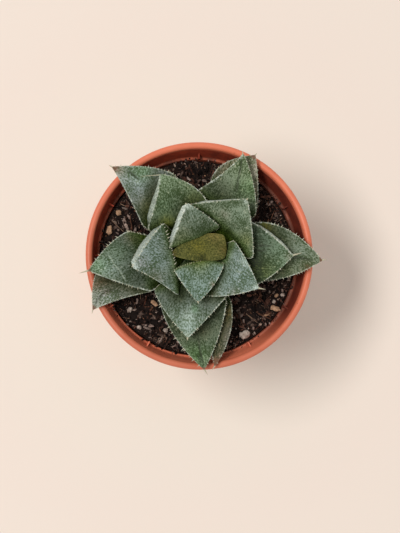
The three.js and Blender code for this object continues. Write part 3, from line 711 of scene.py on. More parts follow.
def mix_shape():
    """Points and faces of the mix: a lumpy top, a tapering side and a flat bottom."""
    points = [(0, 0, soil_height(0, 0))]
    for i in range(1, MIX_RINGS + 1):
        radius = MIX_TOP_RADIUS * i / MIX_RINGS
        edge = min(1.0, (MIX_TOP_RADIUS - radius) / CALM_EDGE)
        for x, y, _ in circle(radius, 0, MIX_SIDES):
            points.append((x, y, soil_height(x, y) + edge * fine_lumps(x, y)))
    for height in MIX_SIDE_HEIGHTS:
        points += circle(inner_wall(height) - GAP, height, MIX_SIDES)
    points += circle(BOTTOM_FLAT - GAP, BOTTOM + GAP, MIX_SIDES)
    points.append((0, 0, BOTTOM + GAP))
    # The rows go down from the top, so every face turns the other way
    faces = skin_faces(MIX_RINGS + len(MIX_SIDE_HEIGHTS) + 1, MIX_SIDES)
    return points, [(face[0], *face[:0:-1]) for face in faces]


print("mix in the middle, mm:", round(float(soil_height(0, 0)), 2))


# %% Material of the mix and its crumbs
DAMP_SHARE, DRY_SHARE = (0.5, 0.46, 0.44, 1.0), (1.6, 1.55, 1.55, 1.0)
DRY_SPECKS = 0.6


def loose_material(name, roughness):
    """Dull crumbly matter in the tints that its mesh carries, with clouds, specks and a rough relief."""
    material, tree, shader = new_material(name, roughness, specular=0.2)
    place = place_mm(tree)
    tint = attribute(tree, "tint", "Color")
    damp, dry = tinted(tree, tint, DAMP_SHARE), tinted(tree, tint, DRY_SHARE)
    tone, _ = cloudy(tree, place, scale=0.9, contrast=1.2, low=damp, high=tint)
    mask, _ = speckled(tree, place, scale=2.2, size=0.4, share=0.25)
    fill(tree, shader, {"Base Color": mix(tree, product(tree, mask, DRY_SPECKS), tone, dry)})
    raise_relief(tree, shader, ripples(tree, place, scale=3.0, detail=4.0), distance_mm=0.25)
    print("material:", name)
    return material


potting_mix = loose_material("potting_mix", 0.95)
peat_finish = loose_material("peat_crumbs", 0.95)
bark_finish = loose_material("bark", 0.85)
grit_finish = loose_material("grit", 0.8)

# %% Tints of the loose bits, each with how often it comes
MIX_TINT = linear(38, 28, 24)
PEAT_TINTS = [(linear(26, 19, 17), 33), (linear(62, 44, 37), 24), (linear(96, 64, 52), 9),
              (linear(108, 89, 79), 13), (linear(146, 126, 116), 9), (linear(176, 156, 144), 5)]
EDGE_TINTS = [(linear(92, 62, 50), 40), (linear(124, 100, 86), 35), (linear(164, 142, 126), 25)]
BARK_TINTS = [(linear(74, 46, 34), 40), (linear(112, 78, 58), 35), (linear(170, 132, 104), 25)]
FIBRE_TINTS = [(linear(84, 52, 40), 40), (linear(126, 88, 68), 35), (linear(170, 140, 116), 25)]
GRIT_TINTS = [(linear(140, 126, 124), 40), (linear(176, 158, 146), 40), (linear(222, 208, 194), 20)]
CHIP_TINTS = dict(bark=linear(206, 166, 132), pumice=linear(206, 190, 176))


def pick(tints, random):
    """One tint of a list, by how often each comes."""
    shares = np.array([share for _, share in tints], float)
    return tints[random.choice(len(tints), p=shares / shares.sum())][0]


# %% Build the mix
MIX_EDGE_DEGREES = 60

soil = make_piece("potting_mix_body", *mix_shape(), potting_mix, MIX_EDGE_DEGREES)
store(soil, "tint", [MIX_TINT] * len(soil.data.vertices), "FLOAT_COLOR")
seat(soil, "potting_mix", "potting_mix")

# %% Crumbs
CRUMB_SEED = 4021
# The corners and faces of an icosahedron, the blank of every crumb
GOLDEN = (1 + 5 ** 0.5) / 2
KNOBS = np.array([(-1, GOLDEN, 0), (1, GOLDEN, 0), (-1, -GOLDEN, 0), (1, -GOLDEN, 0),
                  (0, -1, GOLDEN), (0, 1, GOLDEN), (0, -1, -GOLDEN), (0, 1, -GOLDEN),
                  (GOLDEN, 0, -1), (GOLDEN, 0, 1), (-GOLDEN, 0, -1), (-GOLDEN, 0, 1)]) / math.hypot(1, GOLDEN)
KNOB_FACES = [(0, 11, 5), (0, 5, 1), (0, 1, 7), (0, 7, 10), (0, 10, 11), (1, 5, 9), (5, 11, 4), (11, 10, 2),
              (10, 7, 6), (7, 1, 8), (3, 9, 4), (3, 4, 2), (3, 2, 6), (3, 6, 8), (3, 8, 9), (4, 9, 5),
              (2, 4, 11), (6, 2, 10), (8, 6, 7), (9, 8, 1)]
# A crumb's length and width as shares of its size, how far knocks move its corners, how far it
# sticks out, and how much its tint varies
LENGTHS, WIDTHS, KNOCKS, LIFTS, SHADES = (0.8, 1.8), (0.3, 0.9), (0.7, 1.25), (0.0, 0.22), (0.6, 1.6)
MOSTLY_SMALL = 3
CRUMB_EDGE_DEGREES = 22
INNER_REACH = 8.0
MIX_REACH = MIX_TOP_RADIUS - 0.6
LEDGE_REACH = LEDGE_OUTER - 0.3
EDGE_STRIP, EDGE_CROWDING, EDGE_LIFT = 3.5, 1.5, 0.2
LEDGE_CLUMPS, CLUMP_CHANCE = 4, (-0.4, 0.5)
BARK_NAMES = [f"bark_chip_{i}" for i in range(1, 6)]
PUMICE_NAMES = [f"pumice_chip_{i}" for i in range(1, 7)]
CHIP_CLEARANCE = 0.35


def chip_ground():
    """A search tree of the ground that the chips of the CAD cover, so that no crumb hides them."""
    spots = []
    for name in BARK_NAMES + PUMICE_NAMES:
        corners = np.array([v.co for v in frame["nodes"][name].data.vertices]) / MM
        centre = corners.mean(axis=0)
        spots += [centre + (corner - centre) * share for corner in corners for share in (0.3, 0.6, 0.9)]
    return point_tree([(x, y, 0) for x, y, _ in spots])


covered = chip_ground()


def random_turn(random):
    """A random rotation matrix."""
    q = random.normal(size=4)
    w, x, y, z = q / np.linalg.norm(q)
    return np.array([[1 - 2 * (y * y + z * z), 2 * (x * y - z * w), 2 * (x * z + y * w)],
                     [2 * (x * y + z * w), 1 - 2 * (x * x + z * z), 2 * (y * z - x * w)],
                     [2 * (x * z - y * w), 2 * (y * z + x * w), 1 - 2 * (x * x + y * y)]])


def spot_on_mix(radius, angle):
    """A place on the mix: x, y and the height of the surface there."""
    x, y = radius * math.cos(angle), radius * math.sin(angle)
    return x, y, soil_height(x, y) + fine_lumps(x, y)


def seats_on_mix(random):
    """A random place on the mix, outside the stem."""
    radius = math.sqrt(random.uniform(INNER_REACH ** 2, MIX_REACH ** 2))
    return spot_on_mix(radius, random.uniform(0, 2 * math.pi))


def seats_near_edge(random):
    """A random place on the outermost strip of the mix, where fibres and dry bits have rolled."""
    radius = MIX_REACH - EDGE_STRIP * random.random() ** EDGE_CROWDING
    x, y, height = spot_on_mix(radius, random.uniform(0, 2 * math.pi))
    return x, y, height + EDGE_LIFT


def seats_on_ledge(random):
    """A random place on the pot's ledge, in clumps, so that the edge of the mix is uneven."""
    while True:
        angle = random.uniform(0, 2 * math.pi)
        clump = noise.noise(Vector((math.cos(angle) * LEDGE_CLUMPS, math.sin(angle) * LEDGE_CLUMPS, 2.0)))
        if random.uniform(*CLUMP_CHANCE) < clump:
            radius = random.uniform(MIX_REACH - 0.5, LEDGE_REACH)
            return radius * math.cos(angle), radius * math.sin(angle), LEDGE_HEIGHT


def crumb(size, flat, narrow, random):
    """The corners of one knocked-about bit, turned at random about its middle."""
    long, wide = size * random.uniform(*LENGTHS), size * random.uniform(*WIDTHS) * narrow
    knocked = KNOBS * random.uniform(*KNOCKS, (len(KNOBS), 1)) * (long / 2, wide / 2, size * flat / 2)
    return knocked @ random_turn(random).T


def scatter(name, finish, tints, slot, count, sizes, flat, narrow=1.0, seats=seats_on_mix):
    """Many bits between two sizes, each with its own turn, seat and tint, joined into one mesh."""
    random = crumb_random
    points, faces, colours = [], [], []
    for _ in range(count):
        size = sizes[0] + (sizes[1] - sizes[0]) * random.random() ** MOSTLY_SMALL
        corners = crumb(size, flat, narrow, random)
        x, y, z = seats(random)
        if covered.find((x, y, 0))[2] < CHIP_CLEARANCE + size / 6:
            continue
        base = len(points)
        points += (corners + (x, y, z + size * random.uniform(*LIFTS))).tolist()
        faces += [(a + base, b + base, c + base) for a, b, c in KNOB_FACES]
        colours += [np.array(pick(tints, random)) * random.uniform(*SHADES)] * len(KNOBS)
    piece = make_piece(name, points, faces, finish, CRUMB_EDGE_DEGREES)
    store(piece, "tint", colours, "FLOAT_COLOR")
    return seat(piece, slot)


crumb_random = np.random.default_rng(CRUMB_SEED)
scatter("peat_crumbs", peat_finish, PEAT_TINTS, "potting_mix", 6400, (0.4, 2.8), flat=0.45)
scatter("edge_crumbs", peat_finish, EDGE_TINTS, "potting_mix", 520, (0.4, 1.9), flat=0.5,
        seats=seats_near_edge)
scatter("bark_bits", bark_finish, BARK_TINTS, "bark", 260, (0.5, 2.2), flat=0.35)
scatter("grit_grains", grit_finish, GRIT_TINTS, "pumice", 260, (0.25, 1.1), flat=0.75)
scatter("peat_fibres", peat_finish, FIBRE_TINTS, "potting_mix", 560, (1.6, 7.0), flat=0.07, narrow=0.18)
scatter("ledge_crumbs", peat_finish, PEAT_TINTS, "potting_mix", 300, (0.3, 1.3), flat=0.7,
        seats=seats_on_ledge)

# %% [markdown]
# ### The larger chips
#
# Eleven chips are big enough to be nodes of the CAD: five of tan bark and six of pale pumice. Each
# gets a mesh of its own in the same place. The chip of the CAD is copied, each of its faces is
# split into many, and every point is pushed in or out by noise, which gives the broken faces of
# bark and the pitted skin of pumice.

# %% Build the chips
WELD_MM, CHIP_SPLITS = 0.02, 3
CHIP_SIZE, RAGGEDNESS, BARK_PITS, PUMICE_PITS = 0.98, 0.16, 0.05, 0.25
RAGGED_PER_MM, PITS_PER_MM = 0.9, 3.2
CHIP_EDGE_DEGREES = 35
PUMICE_FIRST_SEED = 20


def finer_copy(source, name):
    """A copy of a CAD node's mesh, with each face split into many."""
    piece = bpy.data.objects.new(name, source.data.copy())
    bpy.context.scene.collection.objects.link(piece)
    weld = piece.modifiers.new("weld", "WELD")
    weld.merge_threshold = WELD_MM * MM
    splitter = piece.modifiers.new("split", "SUBSURF")
    splitter.subdivision_type = "SIMPLE"
    splitter.levels = CHIP_SPLITS
    apply_modifiers(piece)
    return piece


def rough_chip(name, finish, slot, pits, seed):
    """A finer mesh for one chip of the CAD, made from the chip's own shape."""
    source = frame["nodes"][name]
    centre = np.mean([v.co for v in source.data.vertices], axis=0) / MM
    piece = finer_copy(source, name + "_rough")
    points = points_mm(piece)
    for i, point in enumerate(points):
        at = Vector(point) + Vector((seed * 3.1, 0, 0))
        ragged = noise.fractal(at * RAGGED_PER_MM, 0.9, 2.0, 3)
        pit = max(0.0, noise.noise(at * PITS_PER_MM)) * pits
        points[i] = centre + (point - centre) * (CHIP_SIZE + RAGGEDNESS * ragged - pit)
    piece.data.vertices.foreach_set("co", (points * MM).ravel())
    piece.data.materials.clear()
    piece.data.materials.append(finish)
    smooth(piece.data, CHIP_EDGE_DEGREES)
    store(piece, "tint", [CHIP_TINTS[slot]] * len(points), "FLOAT_COLOR")
    return seat(piece, slot, name)


for number, name in enumerate(BARK_NAMES):
    rough_chip(name, bark_finish, "bark", BARK_PITS, number)
for number, name in enumerate(PUMICE_NAMES):
    rough_chip(name, grit_finish, "pumice", PUMICE_PITS, number + PUMICE_FIRST_SEED)

# %% [markdown]
# ## The stem
#
# Under the leaves is a short fleshy stem that tapers into the mix. Hardly any of it shows, so it
# is a plain turned form on the CAD's outline, with the faint rings that fallen leaves leave.

# %% Build the stem
ROSETTE_CENTRE = np.array([-0.4, 2.2])
STEM_RADIUS, STEM_TOP, STEM_FOOT = 3.6, 80.8, 46.0
ROOT_HEIGHT, ROOT_RADIUS, ROOT_END = 12.0, 2.6, 1.2
LOWEST_BASE, HIGHEST_BASE = 69.4, 76.2
RINGED_FROM, RINGED_TO, RING_DEPTH, RING_RATE = 67.0, 77.0, 0.08, 3.2
STEM_DEEP, STEM_PALE = linear(96, 88, 44), linear(140, 130, 78)
STEM_SIDES, STEM_EDGE_DEGREES = 64, 60


def stem_outline():
    """Outline of the stem with slight rings above the mix."""
    ringed = [(STEM_RADIUS - RING_DEPTH * (1 - math.cos(h * RING_RATE)), h)
              for h in np.arange(RINGED_FROM, RINGED_TO, 0.4)]
    return [(0, STEM_FOOT), (ROOT_END * 0.7, STEM_FOOT + 0.2), (ROOT_END, STEM_FOOT + 1),
            (ROOT_RADIUS * 0.8, STEM_FOOT + ROOT_HEIGHT * 0.6), (ROOT_RADIUS, STEM_FOOT + ROOT_HEIGHT),
            (STEM_RADIUS, LOWEST_BASE - 3), *ringed, (STEM_RADIUS, STEM_TOP - 1.5),
            (STEM_RADIUS * 0.9, STEM_TOP - 0.9), (STEM_RADIUS * 0.7, STEM_TOP - 0.4),
            (STEM_RADIUS * 0.35, STEM_TOP - 0.1), (0, STEM_TOP)]


stem_finish, tree, shader = new_material("stem", 0.75, specular=0.3)
place = place_mm(tree)
stem_tone, stem_mask = cloudy(tree, place, scale=0.8, contrast=1.0, low=STEM_DEEP, high=STEM_PALE)
fill(tree, shader, {"Base Color": stem_tone})
raise_relief(tree, shader, stem_mask, distance_mm=0.1)
stem_shape = turn(stem_outline(), STEM_SIDES, ROSETTE_CENTRE)
stem = make_piece("stem_core", *stem_shape, stem_finish, STEM_EDGE_DEGREES)
seat(stem, "stem", "stem")

# %% [markdown]
# ## The leaves
#
# Each leaf of this plant is a thick wedge. It leaves the stem hidden, turns up, and ends in a flat
# three-cornered face that looks at the sky, with a keel below. Sculpting seventeen of them by hand
# would be slow and never fit the CAD, so each leaf is lofted: rings of points are laid across four
# guide lines, the two margins, the middle of the face and the keel. The guide lines follow the
# CAD's own rules and numbers, so the fine leaf lies where the solid leaf is. The catalogue holds
# what differs: the corners of the face, how far its margins swell, where the keel runs, and how
# long the teeth of its clockwise and counter-clockwise margins are.

# %% Catalogue of leaves, youngest first
LEAVES = [
    dict(tip=(-11.8, -0.8, 85.2), cw=(8.1, 6.4, 84.8), ccw=(8.3, -2.1, 84.8), crest=(8.8, 2.2, 84.3),
         bow=(3.1, 1.7), keel=(0, 6.2), blunt=0.9, bristle=(-0.5, 0, 0.2), teeth=(0, 0)),
    dict(tip=(-2.6, -18.1, 90), cw=(-11.2, -6.6, 87), ccw=(7.4, -4.1, 87.5), crest=(-1.6, -3.2, 86),
         bow=(0.4, 1.3), keel=(0.1, 8.5), blunt=1.6, bristle=(0.2, -1.3, 0.6), teeth=(0.35, 0.3)),
    dict(tip=(-6.5, 16.9, 91), cw=(6, 9.2, 86.8), ccw=(-12.9, 0.9, 87), crest=(-2.6, 4.9, 85.8),
         bow=(0.5, -0.4), keel=(1, 8.5), band=(1.9, 0.8, 0.8), blunt=0.9, bristle=(-0.5, 0.5, 0.3),
         teeth=(0.45, 0.3)),
    dict(tip=(19.5, -13.2, 88.5), cw=(0.9, -16, 85), ccw=(11.1, 4.4, 86.5), crest=(7.5, -3.5, 85),
         bow=(1.4, 0.7), keel=(0.1, 8), blunt=1.0, bristle=(2.9, -0.6, 0.8), teeth=(0.4, 0.35)),
    dict(tip=(-25.9, -6.1, 88.5), cw=(-14.8, 10.6, 87), ccw=(-9.2, -16.1, 85), crest=(-10.4, -4, 85.7),
         bow=(0.7, -1.0), keel=(-1, 8.5), band=(2.1, 0.7, 0.9), blunt=0.9, bristle=(-0.5, -0.3, 0.2),
         teeth=(0.6, 0.35)),
    dict(tip=(15.5, 18.9, 88), cw=(18.3, -2.3, 85.5), ccw=(-5.1, 17.6, 86), crest=(8.8, 8.6, 85),
         bow=(0.9, 0.1), keel=(0.9, 8), band=(1.1, 0.35, 0), blunt=1.6, bristle=(0.7, 0.8, 0.5),
         teeth=(0.4, 0.3)),
    dict(tip=(-5.7, -30.9, 84.5), cw=(-18, -13.8, 83), ccw=(8.9, -15.8, 83), crest=(-4.3, -11, 82),
         bow=(1.5, 0.3), keel=(0, 8), blunt=1.0, bristle=(-0.2, -1.5, 0.5), teeth=(0.45, 0.45)),
    dict(tip=(-15.5, 28.3, 85.5), cw=(1.9, 18.5, 83), ccw=(-20.5, 8.4, 83), crest=(-9.1, 11.4, 82),
         bow=(2.6, -1.0), keel=(1, 8), band=(1.7, 0.45, 0.2), blunt=0.9, bristle=(-7.8, -0.6, -1.2),
         teeth=(0.4, 0.25)),
    dict(tip=(32.9, -0.9, 84), cw=(19, -11.9, 82), ccw=(17.5, 12.1, 82.5), crest=(15.8, 0, 81),
         bow=(1.4, 1.0), keel=(1, 7.5), band=(1.2, 0.8, 0.4), blunt=1.0, bristle=(4.0, 1.1, 0.4),
         teeth=(0.5, 0.4)),
    dict(tip=(-41.4, -6.7, 81.5), cw=(-27.4, 8, 81), ccw=(-18.4, -14.3, 80), crest=(-21, -1.7, 79),
         bow=(1.5, 0.6), keel=(0, 6.5), blunt=0.8, bristle=(-4.0, -1.2, 0), teeth=(0.75, 0.5)),
    dict(tip=(15.1, 36.5, 83), cw=(19.9, 14.1, 81.5), ccw=(-2.1, 23.2, 82), crest=(8.6, 18.2, 80),
         bow=(1.6, -1.0), keel=(0.5, 7), blunt=0.9, bristle=(-0.6, 1.5, 0.7), teeth=(0.4, 0.5)),
    dict(tip=(0.9, -42.3, 78.6), cw=(-15.4, -17.9, 78.5), ccw=(9.4, -16.6, 79), crest=(-2.4, -17, 77.5),
         bow=(2.7, 1.3), keel=(0.2, 6), blunt=0.8, bristle=(1.4, -2.2, -0.3), teeth=(0.85, 0.45)),
    dict(tip=(-32.8, 31.6, 79.6), cw=(-9.6, 29.2, 79.5), ccw=(-21.7, 9.8, 78.5), crest=(-15.4, 18.2, 77.5),
         bow=(1.9, -0.5), keel=(0, 6), blunt=0.8, bristle=(-1.7, 0.8, 0), teeth=(0.55, 0.3)),
    dict(tip=(44.8, -1.9, 79), cw=(23.7, -9.7, 78), ccw=(20.8, 12.3, 78), crest=(21.3, 1.9, 77),
         bow=(1.6, 3.6), keel=(0, 5.5), blunt=0.8, bristle=(2.0, 0.4, 0.3), teeth=(0.5, 0.7)),
    dict(tip=(-39.8, -20.5, 77.6), cw=(-38.5, -7, 78), ccw=(-18.6, -14.1, 77), crest=(-26.3, -7.8, 76),
         bow=(1.5, -0.8), keel=(0, 4.5), blunt=0.8, bristle=(-0.5, -2.0, 0), teeth=(0.3, 0.25)),
    dict(tip=(19.9, 37, 78.6), cw=(21.1, 16.8, 77.5), ccw=(3.6, 27.8, 78), crest=(12.7, 20.5, 77),
         bow=(0.6, 3.2), keel=(0, 5), blunt=0.9, bristle=(0.9, 1.0, 0), teeth=(0.35, 0.4)),
    dict(tip=(5.2, -40.9, 77.2), cw=(1.9, -17.9, 76), ccw=(11.2, -16.8, 76.2), crest=(7.3, -16.7, 75),
         bow=(0.6, 2.6), keel=(0, 4), blunt=0.8, bristle=(-1.2, -2.0, 0), teeth=(0.35, 0.3)),
]
LEAF_NAMES = [f"leaf_{number:02d}" for number in range(1, len(LEAVES) + 1)]
NO_BAND = (0, 0.5, 0)

# %% Guide lines of a leaf
BASE_HALF_WIDTH, BASE_HALF_THICKNESS = 3.0, 1.6
NECK_OUTWARD = dict(youngest=0.9, oldest=0.6, keel=0.5)
NECK_UPWARD = dict(youngest=0.2, oldest=0.45, keel=0.4)
BASE_OUTWARD, BASE_MARGIN_RISE = 0.75, 0.6
TIP_DEPTH, KEEL_FALL, FACE_DOME, KEEL_ASIDE_AT_CREST = 0.9, 1.6, 0.06, 0.7
# The crest rolls over between these places, on the hidden part and on the face
TURN_START, TURN_END = 0.86, 0.09
UP = np.array([0.0, 0.0, 1.0])


def unit(vector):
    """A vector of length one."""
    return vector / np.linalg.norm(vector)


def unit_rows(rows):
    """Each row as a vector of length one."""
    return rows / np.linalg.norm(rows, axis=1, keepdims=True)


def blend(a, b, share):
    """What lies at a share of the way from a to b."""
    return a + (b - a) * share


def ease(value, start, end):
    """A smooth step from 0 at start to 1 at end."""
    t = np.clip((value - start) / (end - start), 0, 1)
    return t * t * (3 - 2 * t)


def curve(begin, via, end, t):
    """A point on a smooth curve that leaves begin and arrives at end by way of a third point."""
    return (1 - t) ** 2 * begin + 2 * t * (1 - t) * via + t * t * end


class Leaf:
    """The guide lines of one leaf of the catalogue, by its place in it."""

    def __init__(self, order):
        entry = LEAVES[order]
        self.order = order
        self.entry = entry
        self.band = entry.get("band", NO_BAND)
        corners = (np.array(entry[k], float) for k in ("tip", "cw", "ccw", "crest"))
        self.tip, self.cw, self.ccw, self.crest = corners
        out = self.tip[:2] - ROSETTE_CENTRE
        self.along = unit(np.array([out[0], out[1], 0.0]))
        self.across = np.cross(UP, self.along)
        self.age = order / (len(LEAVES) - 1)
        base = np.array([*ROSETTE_CENTRE, blend(HIGHEST_BASE, LOWEST_BASE, self.age)])
        base = base + self.along * STEM_RADIUS * BASE_OUTWARD
        margin_rise = UP * BASE_HALF_THICKNESS * BASE_MARGIN_RISE
        self.start = {
            "left": base + self.across * BASE_HALF_WIDTH + margin_rise,
            "right": base - self.across * BASE_HALF_WIDTH + margin_rise,
            "middle": base + UP * BASE_HALF_THICKNESS,
            "keel": base - UP * BASE_HALF_THICKNESS,
        }
        self.crest_sag = self.crest - (self.cw + self.ccw) / 2
        self.length = np.linalg.norm(self.tip - (self.cw + self.ccw) / 2)

    def face(self, u):
        """The four guide points round the end face, u from the crest (0) to the tip (1)."""
        entry = self.entry
        bow = 4 * u * (1 - u)
        half_tip = self.across * entry["blunt"] / 2
        left = blend(self.ccw, self.tip + half_tip, u) + self.across * entry["bow"][1] * bow
        right = blend(self.cw, self.tip - half_tip, u) - self.across * entry["bow"][0] * bow
        middle, half = (left + right) / 2, (left - right) / 2
        side, depth = entry["keel"]
        aside = side * blend(KEEL_ASIDE_AT_CREST, 1.0, ease(u, 0, 0.3))
        width, peak, end = self.band
        band = width * ease(u, 0, peak) * (1 - (1 - end) * ease(u, peak, 1))
        keel = (middle + half * aside + self.across * band * np.sign(side)
                - UP * blend(depth, TIP_DEPTH, u ** KEEL_FALL))
        dome = FACE_DOME * np.linalg.norm(half) * (1 - u) * min(1, u * 3)
        middle = middle + self.crest_sag * (1 - u) ** 2 + UP * dome
        return dict(left=left, right=right, middle=middle, keel=keel)

    def neck(self, t):
        """The four guide points of the hidden part, t from the stem (0) to the crest (1)."""
        end = self.face(0.0)
        points = {}
        for line, begin in self.start.items():
            if line == "keel":
                outward, upward = NECK_OUTWARD["keel"], NECK_UPWARD["keel"]
            else:
                outward = blend(NECK_OUTWARD["youngest"], NECK_OUTWARD["oldest"], self.age)
                upward = blend(NECK_UPWARD["youngest"], NECK_UPWARD["oldest"], self.age)
            via = blend(begin, end[line], outward)
            via[2] = blend(begin[2], end[line][2], upward)
            points[line] = curve(begin, via, end[line], t)
        return points

    def guide(self, reach):
        """The four guide points anywhere along the leaf: hidden part below 0, face above it."""
        if reach < TURN_START - 1:
            return self.neck(reach + 1)
        if reach < TURN_END:
            return self.turn_over((reach - TURN_START + 1) / (TURN_END - TURN_START + 1))
        return self.face(reach)

    def turn_over(self, t):
        """The four guide points of the rounded crest between the hidden part (0) and the face (1)."""
        begin, via, end = self.neck(TURN_START), self.face(0.0), self.face(TURN_END)
        return {line: curve(begin[line], via[line], end[line], t) for line in begin}


print("longest leaf face, mm:", round(max(Leaf(order).length for order in range(len(LEAVES))), 1))

# %% [markdown]
# ### Rings and skin
#
# A ring goes from the left margin over the face to the right margin, down one flank to the keel
# and up the other. Points crowd towards the margins, because that is where the shape turns
# sharply. Each ring also remembers where on the leaf its points are, how far along, across and
# down a flank, and how far from the margin, so that grain, dots and pale edges can follow the leaf.
# Where a leaf turns from its hidden part to its face, the rings follow a curve instead of the
# CAD's corner, because living flesh rolls over softly.

# %% Rings of a leaf
FACE_COUNT, FLANK_COUNT = 49, 14
even = np.linspace(1, -1, FACE_COUNT)
FACE_SHARES = 0.5 * np.sin(even * math.pi / 2) + 0.5 * even
FLANK_CROWDING, FLANK_SWELL = 1.3, 0.16
FLANK_SHARES = np.linspace(0.04, 0.97, FLANK_COUNT) ** FLANK_CROWDING


def ring_at(guide):
    """One closed ring through four guide points, as rows of x, y, z."""
    left, right, middle, keel = (guide[k] for k in ("left", "right", "middle", "keel"))
    centre, half = (left + right) / 2, (left - right) / 2
    rise = middle - centre
    w = FACE_SHARES[:, None]
    face = centre + half * w + rise * (1 - w * w)

    def flank(start, outward):
        """Points down a flank from its margin, on a slight swell."""
        edge = keel - start
        length = np.linalg.norm(edge)
        edge = edge / length
        push = unit(outward - edge * np.dot(outward, edge))
        s = FLANK_SHARES[:, None]
        return start + edge * s * length + push * FLANK_SWELL * length * 4 * s * (1 - s)

    sideways = unit(half)
    return np.vstack([face, flank(right, -sideways), keel[None], flank(left, sideways)[::-1]])


RING_COUNT = FACE_COUNT + 2 * FLANK_COUNT + 1
# Where round the leaf each point of a ring is: the share across the face, and the share down a
# flank, which counts up on the counter-clockwise flank and below zero on the clockwise one
ACROSS_SHARE = np.concatenate([FACE_SHARES, -np.ones(FLANK_COUNT), [0.0], np.ones(FLANK_COUNT)])
FLANK_SHARE = np.concatenate([np.zeros(FACE_COUNT), -FLANK_SHARES, [1.0], FLANK_SHARES[::-1]])

NECK_STEPS = np.linspace(0, TURN_START, 12)[:-1]
TURN_STEPS = np.linspace(0, 1, 10)[:-1]
FACE_STEPS = np.concatenate([np.linspace(TURN_END, 0.95, 62), [0.965, 0.98, 0.992, 1.0]])
# The youngest leaf has no hidden part: its end closes in small rings inside the CAD's flat end
CLOSED_END = [(0.0, 0.6), (0.012, 0.82), (0.03, 0.95), (0.055, 1.0)]
# Along the bristle: how far, and how much of the way from the leaf's tip to a round needle
BRISTLE_RADIUS, BRISTLE_NECK, BRISTLE_TAPER = 0.3, 0.24, 0.8
BRISTLE_STEPS = [(0.05, 0.25), (0.1, 0.5), (0.16, 0.75), (BRISTLE_NECK, 1.0), (0.36, 1.0), (0.5, 1.0),
                 (0.66, 1.0), (0.83, 1.0)]


def leaf_rings(leaf):
    """All rings of a leaf, the two points that close it, and the reach of each ring along it."""
    rings, reach = [], []
    if leaf.order == 0:
        for u, size in CLOSED_END:
            ring = ring_at(leaf.face(u))
            rings.append(ring.mean(axis=0) + (ring - ring.mean(axis=0)) * size)
            reach.append(u)
    else:
        rings = [ring_at(leaf.neck(t)) for t in NECK_STEPS]
        rings += [ring_at(leaf.turn_over(t)) for t in TURN_STEPS]
        reach = [t - 1 for t in NECK_STEPS] + [blend(TURN_START - 1, TURN_END, t) for t in TURN_STEPS]
    rings += [ring_at(leaf.face(u)) for u in FACE_STEPS]
    reach += list(FACE_STEPS)
    tip_ring = rings[-1]
    tip_centre = tip_ring.mean(axis=0)
    bristle = np.array(leaf.entry["bristle"], float)
    for share, narrowed in BRISTLE_STEPS:
        offset = tip_ring - tip_centre
        size = np.linalg.norm(offset, axis=1, keepdims=True)
        radius = BRISTLE_RADIUS * (1 - max(0, share - BRISTLE_NECK) / (1 - BRISTLE_NECK)) ** BRISTLE_TAPER
        offset = offset / size * blend(size, radius, ease(narrowed, 0, 1))
        rings.append(tip_centre + bristle * share + offset)
        reach.append(1 + share)
    return rings, rings[0].mean(axis=0), tip_centre + bristle, reach


def skin(rings, start, end):
    """Points and faces of a closed skin over a row of rings."""
    return np.vstack([start[None], *rings, end[None]]), skin_faces(len(rings), len(rings[0]))


print("points of a ring:", RING_COUNT)

# %% [markdown]
# ### Room for the leaves above
#
# Leaves of a rosette press on each other, and each older leaf is hollowed where the younger ones
# lie on it. As in the CAD, the room of a leaf is the leaf grown by 0.3 mm, built as a row of
# convex blocks between neighbouring rings, and an older leaf is cut by the blocks of every younger
# leaf that reaches its box. A boolean needs closed meshes, and convex blocks always are.

# %% Rooms and cuts
ROOM_NECK_STEPS = [0, 0.45, 0.85]
ROOM_FACE_STEPS = [0, 0.08, 0.2, 0.35, 0.5, 0.65, 0.8, 0.92, 1]
ROOM_ACROSS = (1, 0.78, 0.5, 0, -0.5, -0.78, -1)
ROOM_DOWN = (0.22, 0.55, 0.87)
ROOM_BRISTLE_SHARE = 0.3
SHARPEST_MITRE = 0.3


def room_places():
    """The few points of a ring that matter for its room."""
    across = [int(np.abs(FACE_SHARES - share).argmin()) for share in ROOM_ACROSS]
    down = [int(np.abs(FLANK_SHARES - share).argmin()) for share in ROOM_DOWN]
    keel = FACE_COUNT + FLANK_COUNT
    return across + [FACE_COUNT + i for i in down] + [keel] + [RING_COUNT - 1 - i for i in reversed(down)]


def grown(ring, amount):
    """A ring moved outwards in its own plane, its corners mitred as far as is sensible."""
    centre = ring.mean(axis=0)
    following = np.roll(ring, -1, axis=0)
    plane = unit(np.cross(ring - centre, following - centre).sum(axis=0))
    outward = unit_rows(np.cross(following - ring, plane))
    before = np.roll(outward, 1, axis=0)
    share = np.maximum(1 + (before * outward).sum(axis=1, keepdims=True), SHARPEST_MITRE)
    return ring + (before + outward) * amount / share


def room_points(leaf):
    """The grown rings of a leaf, thinned to the points that matter for its room."""
    places = room_places()
    necks = [] if leaf.order == 0 else [ring_at(leaf.neck(t)) for t in ROOM_NECK_STEPS]
    rings = [ring[places] for ring in necks + [ring_at(leaf.face(u)) for u in ROOM_FACE_STEPS]]
    centre = rings[-1].mean(axis=0)
    bristle = np.array(leaf.entry["bristle"], float)
    rings.append(centre + bristle * ROOM_BRISTLE_SHARE + unit_rows(rings[-1] - centre) * BRISTLE_RADIUS)
    room = [grown(ring, GAP) for ring in rings]
    room.append((centre + bristle + unit(bristle) * GAP)[None])
    return room


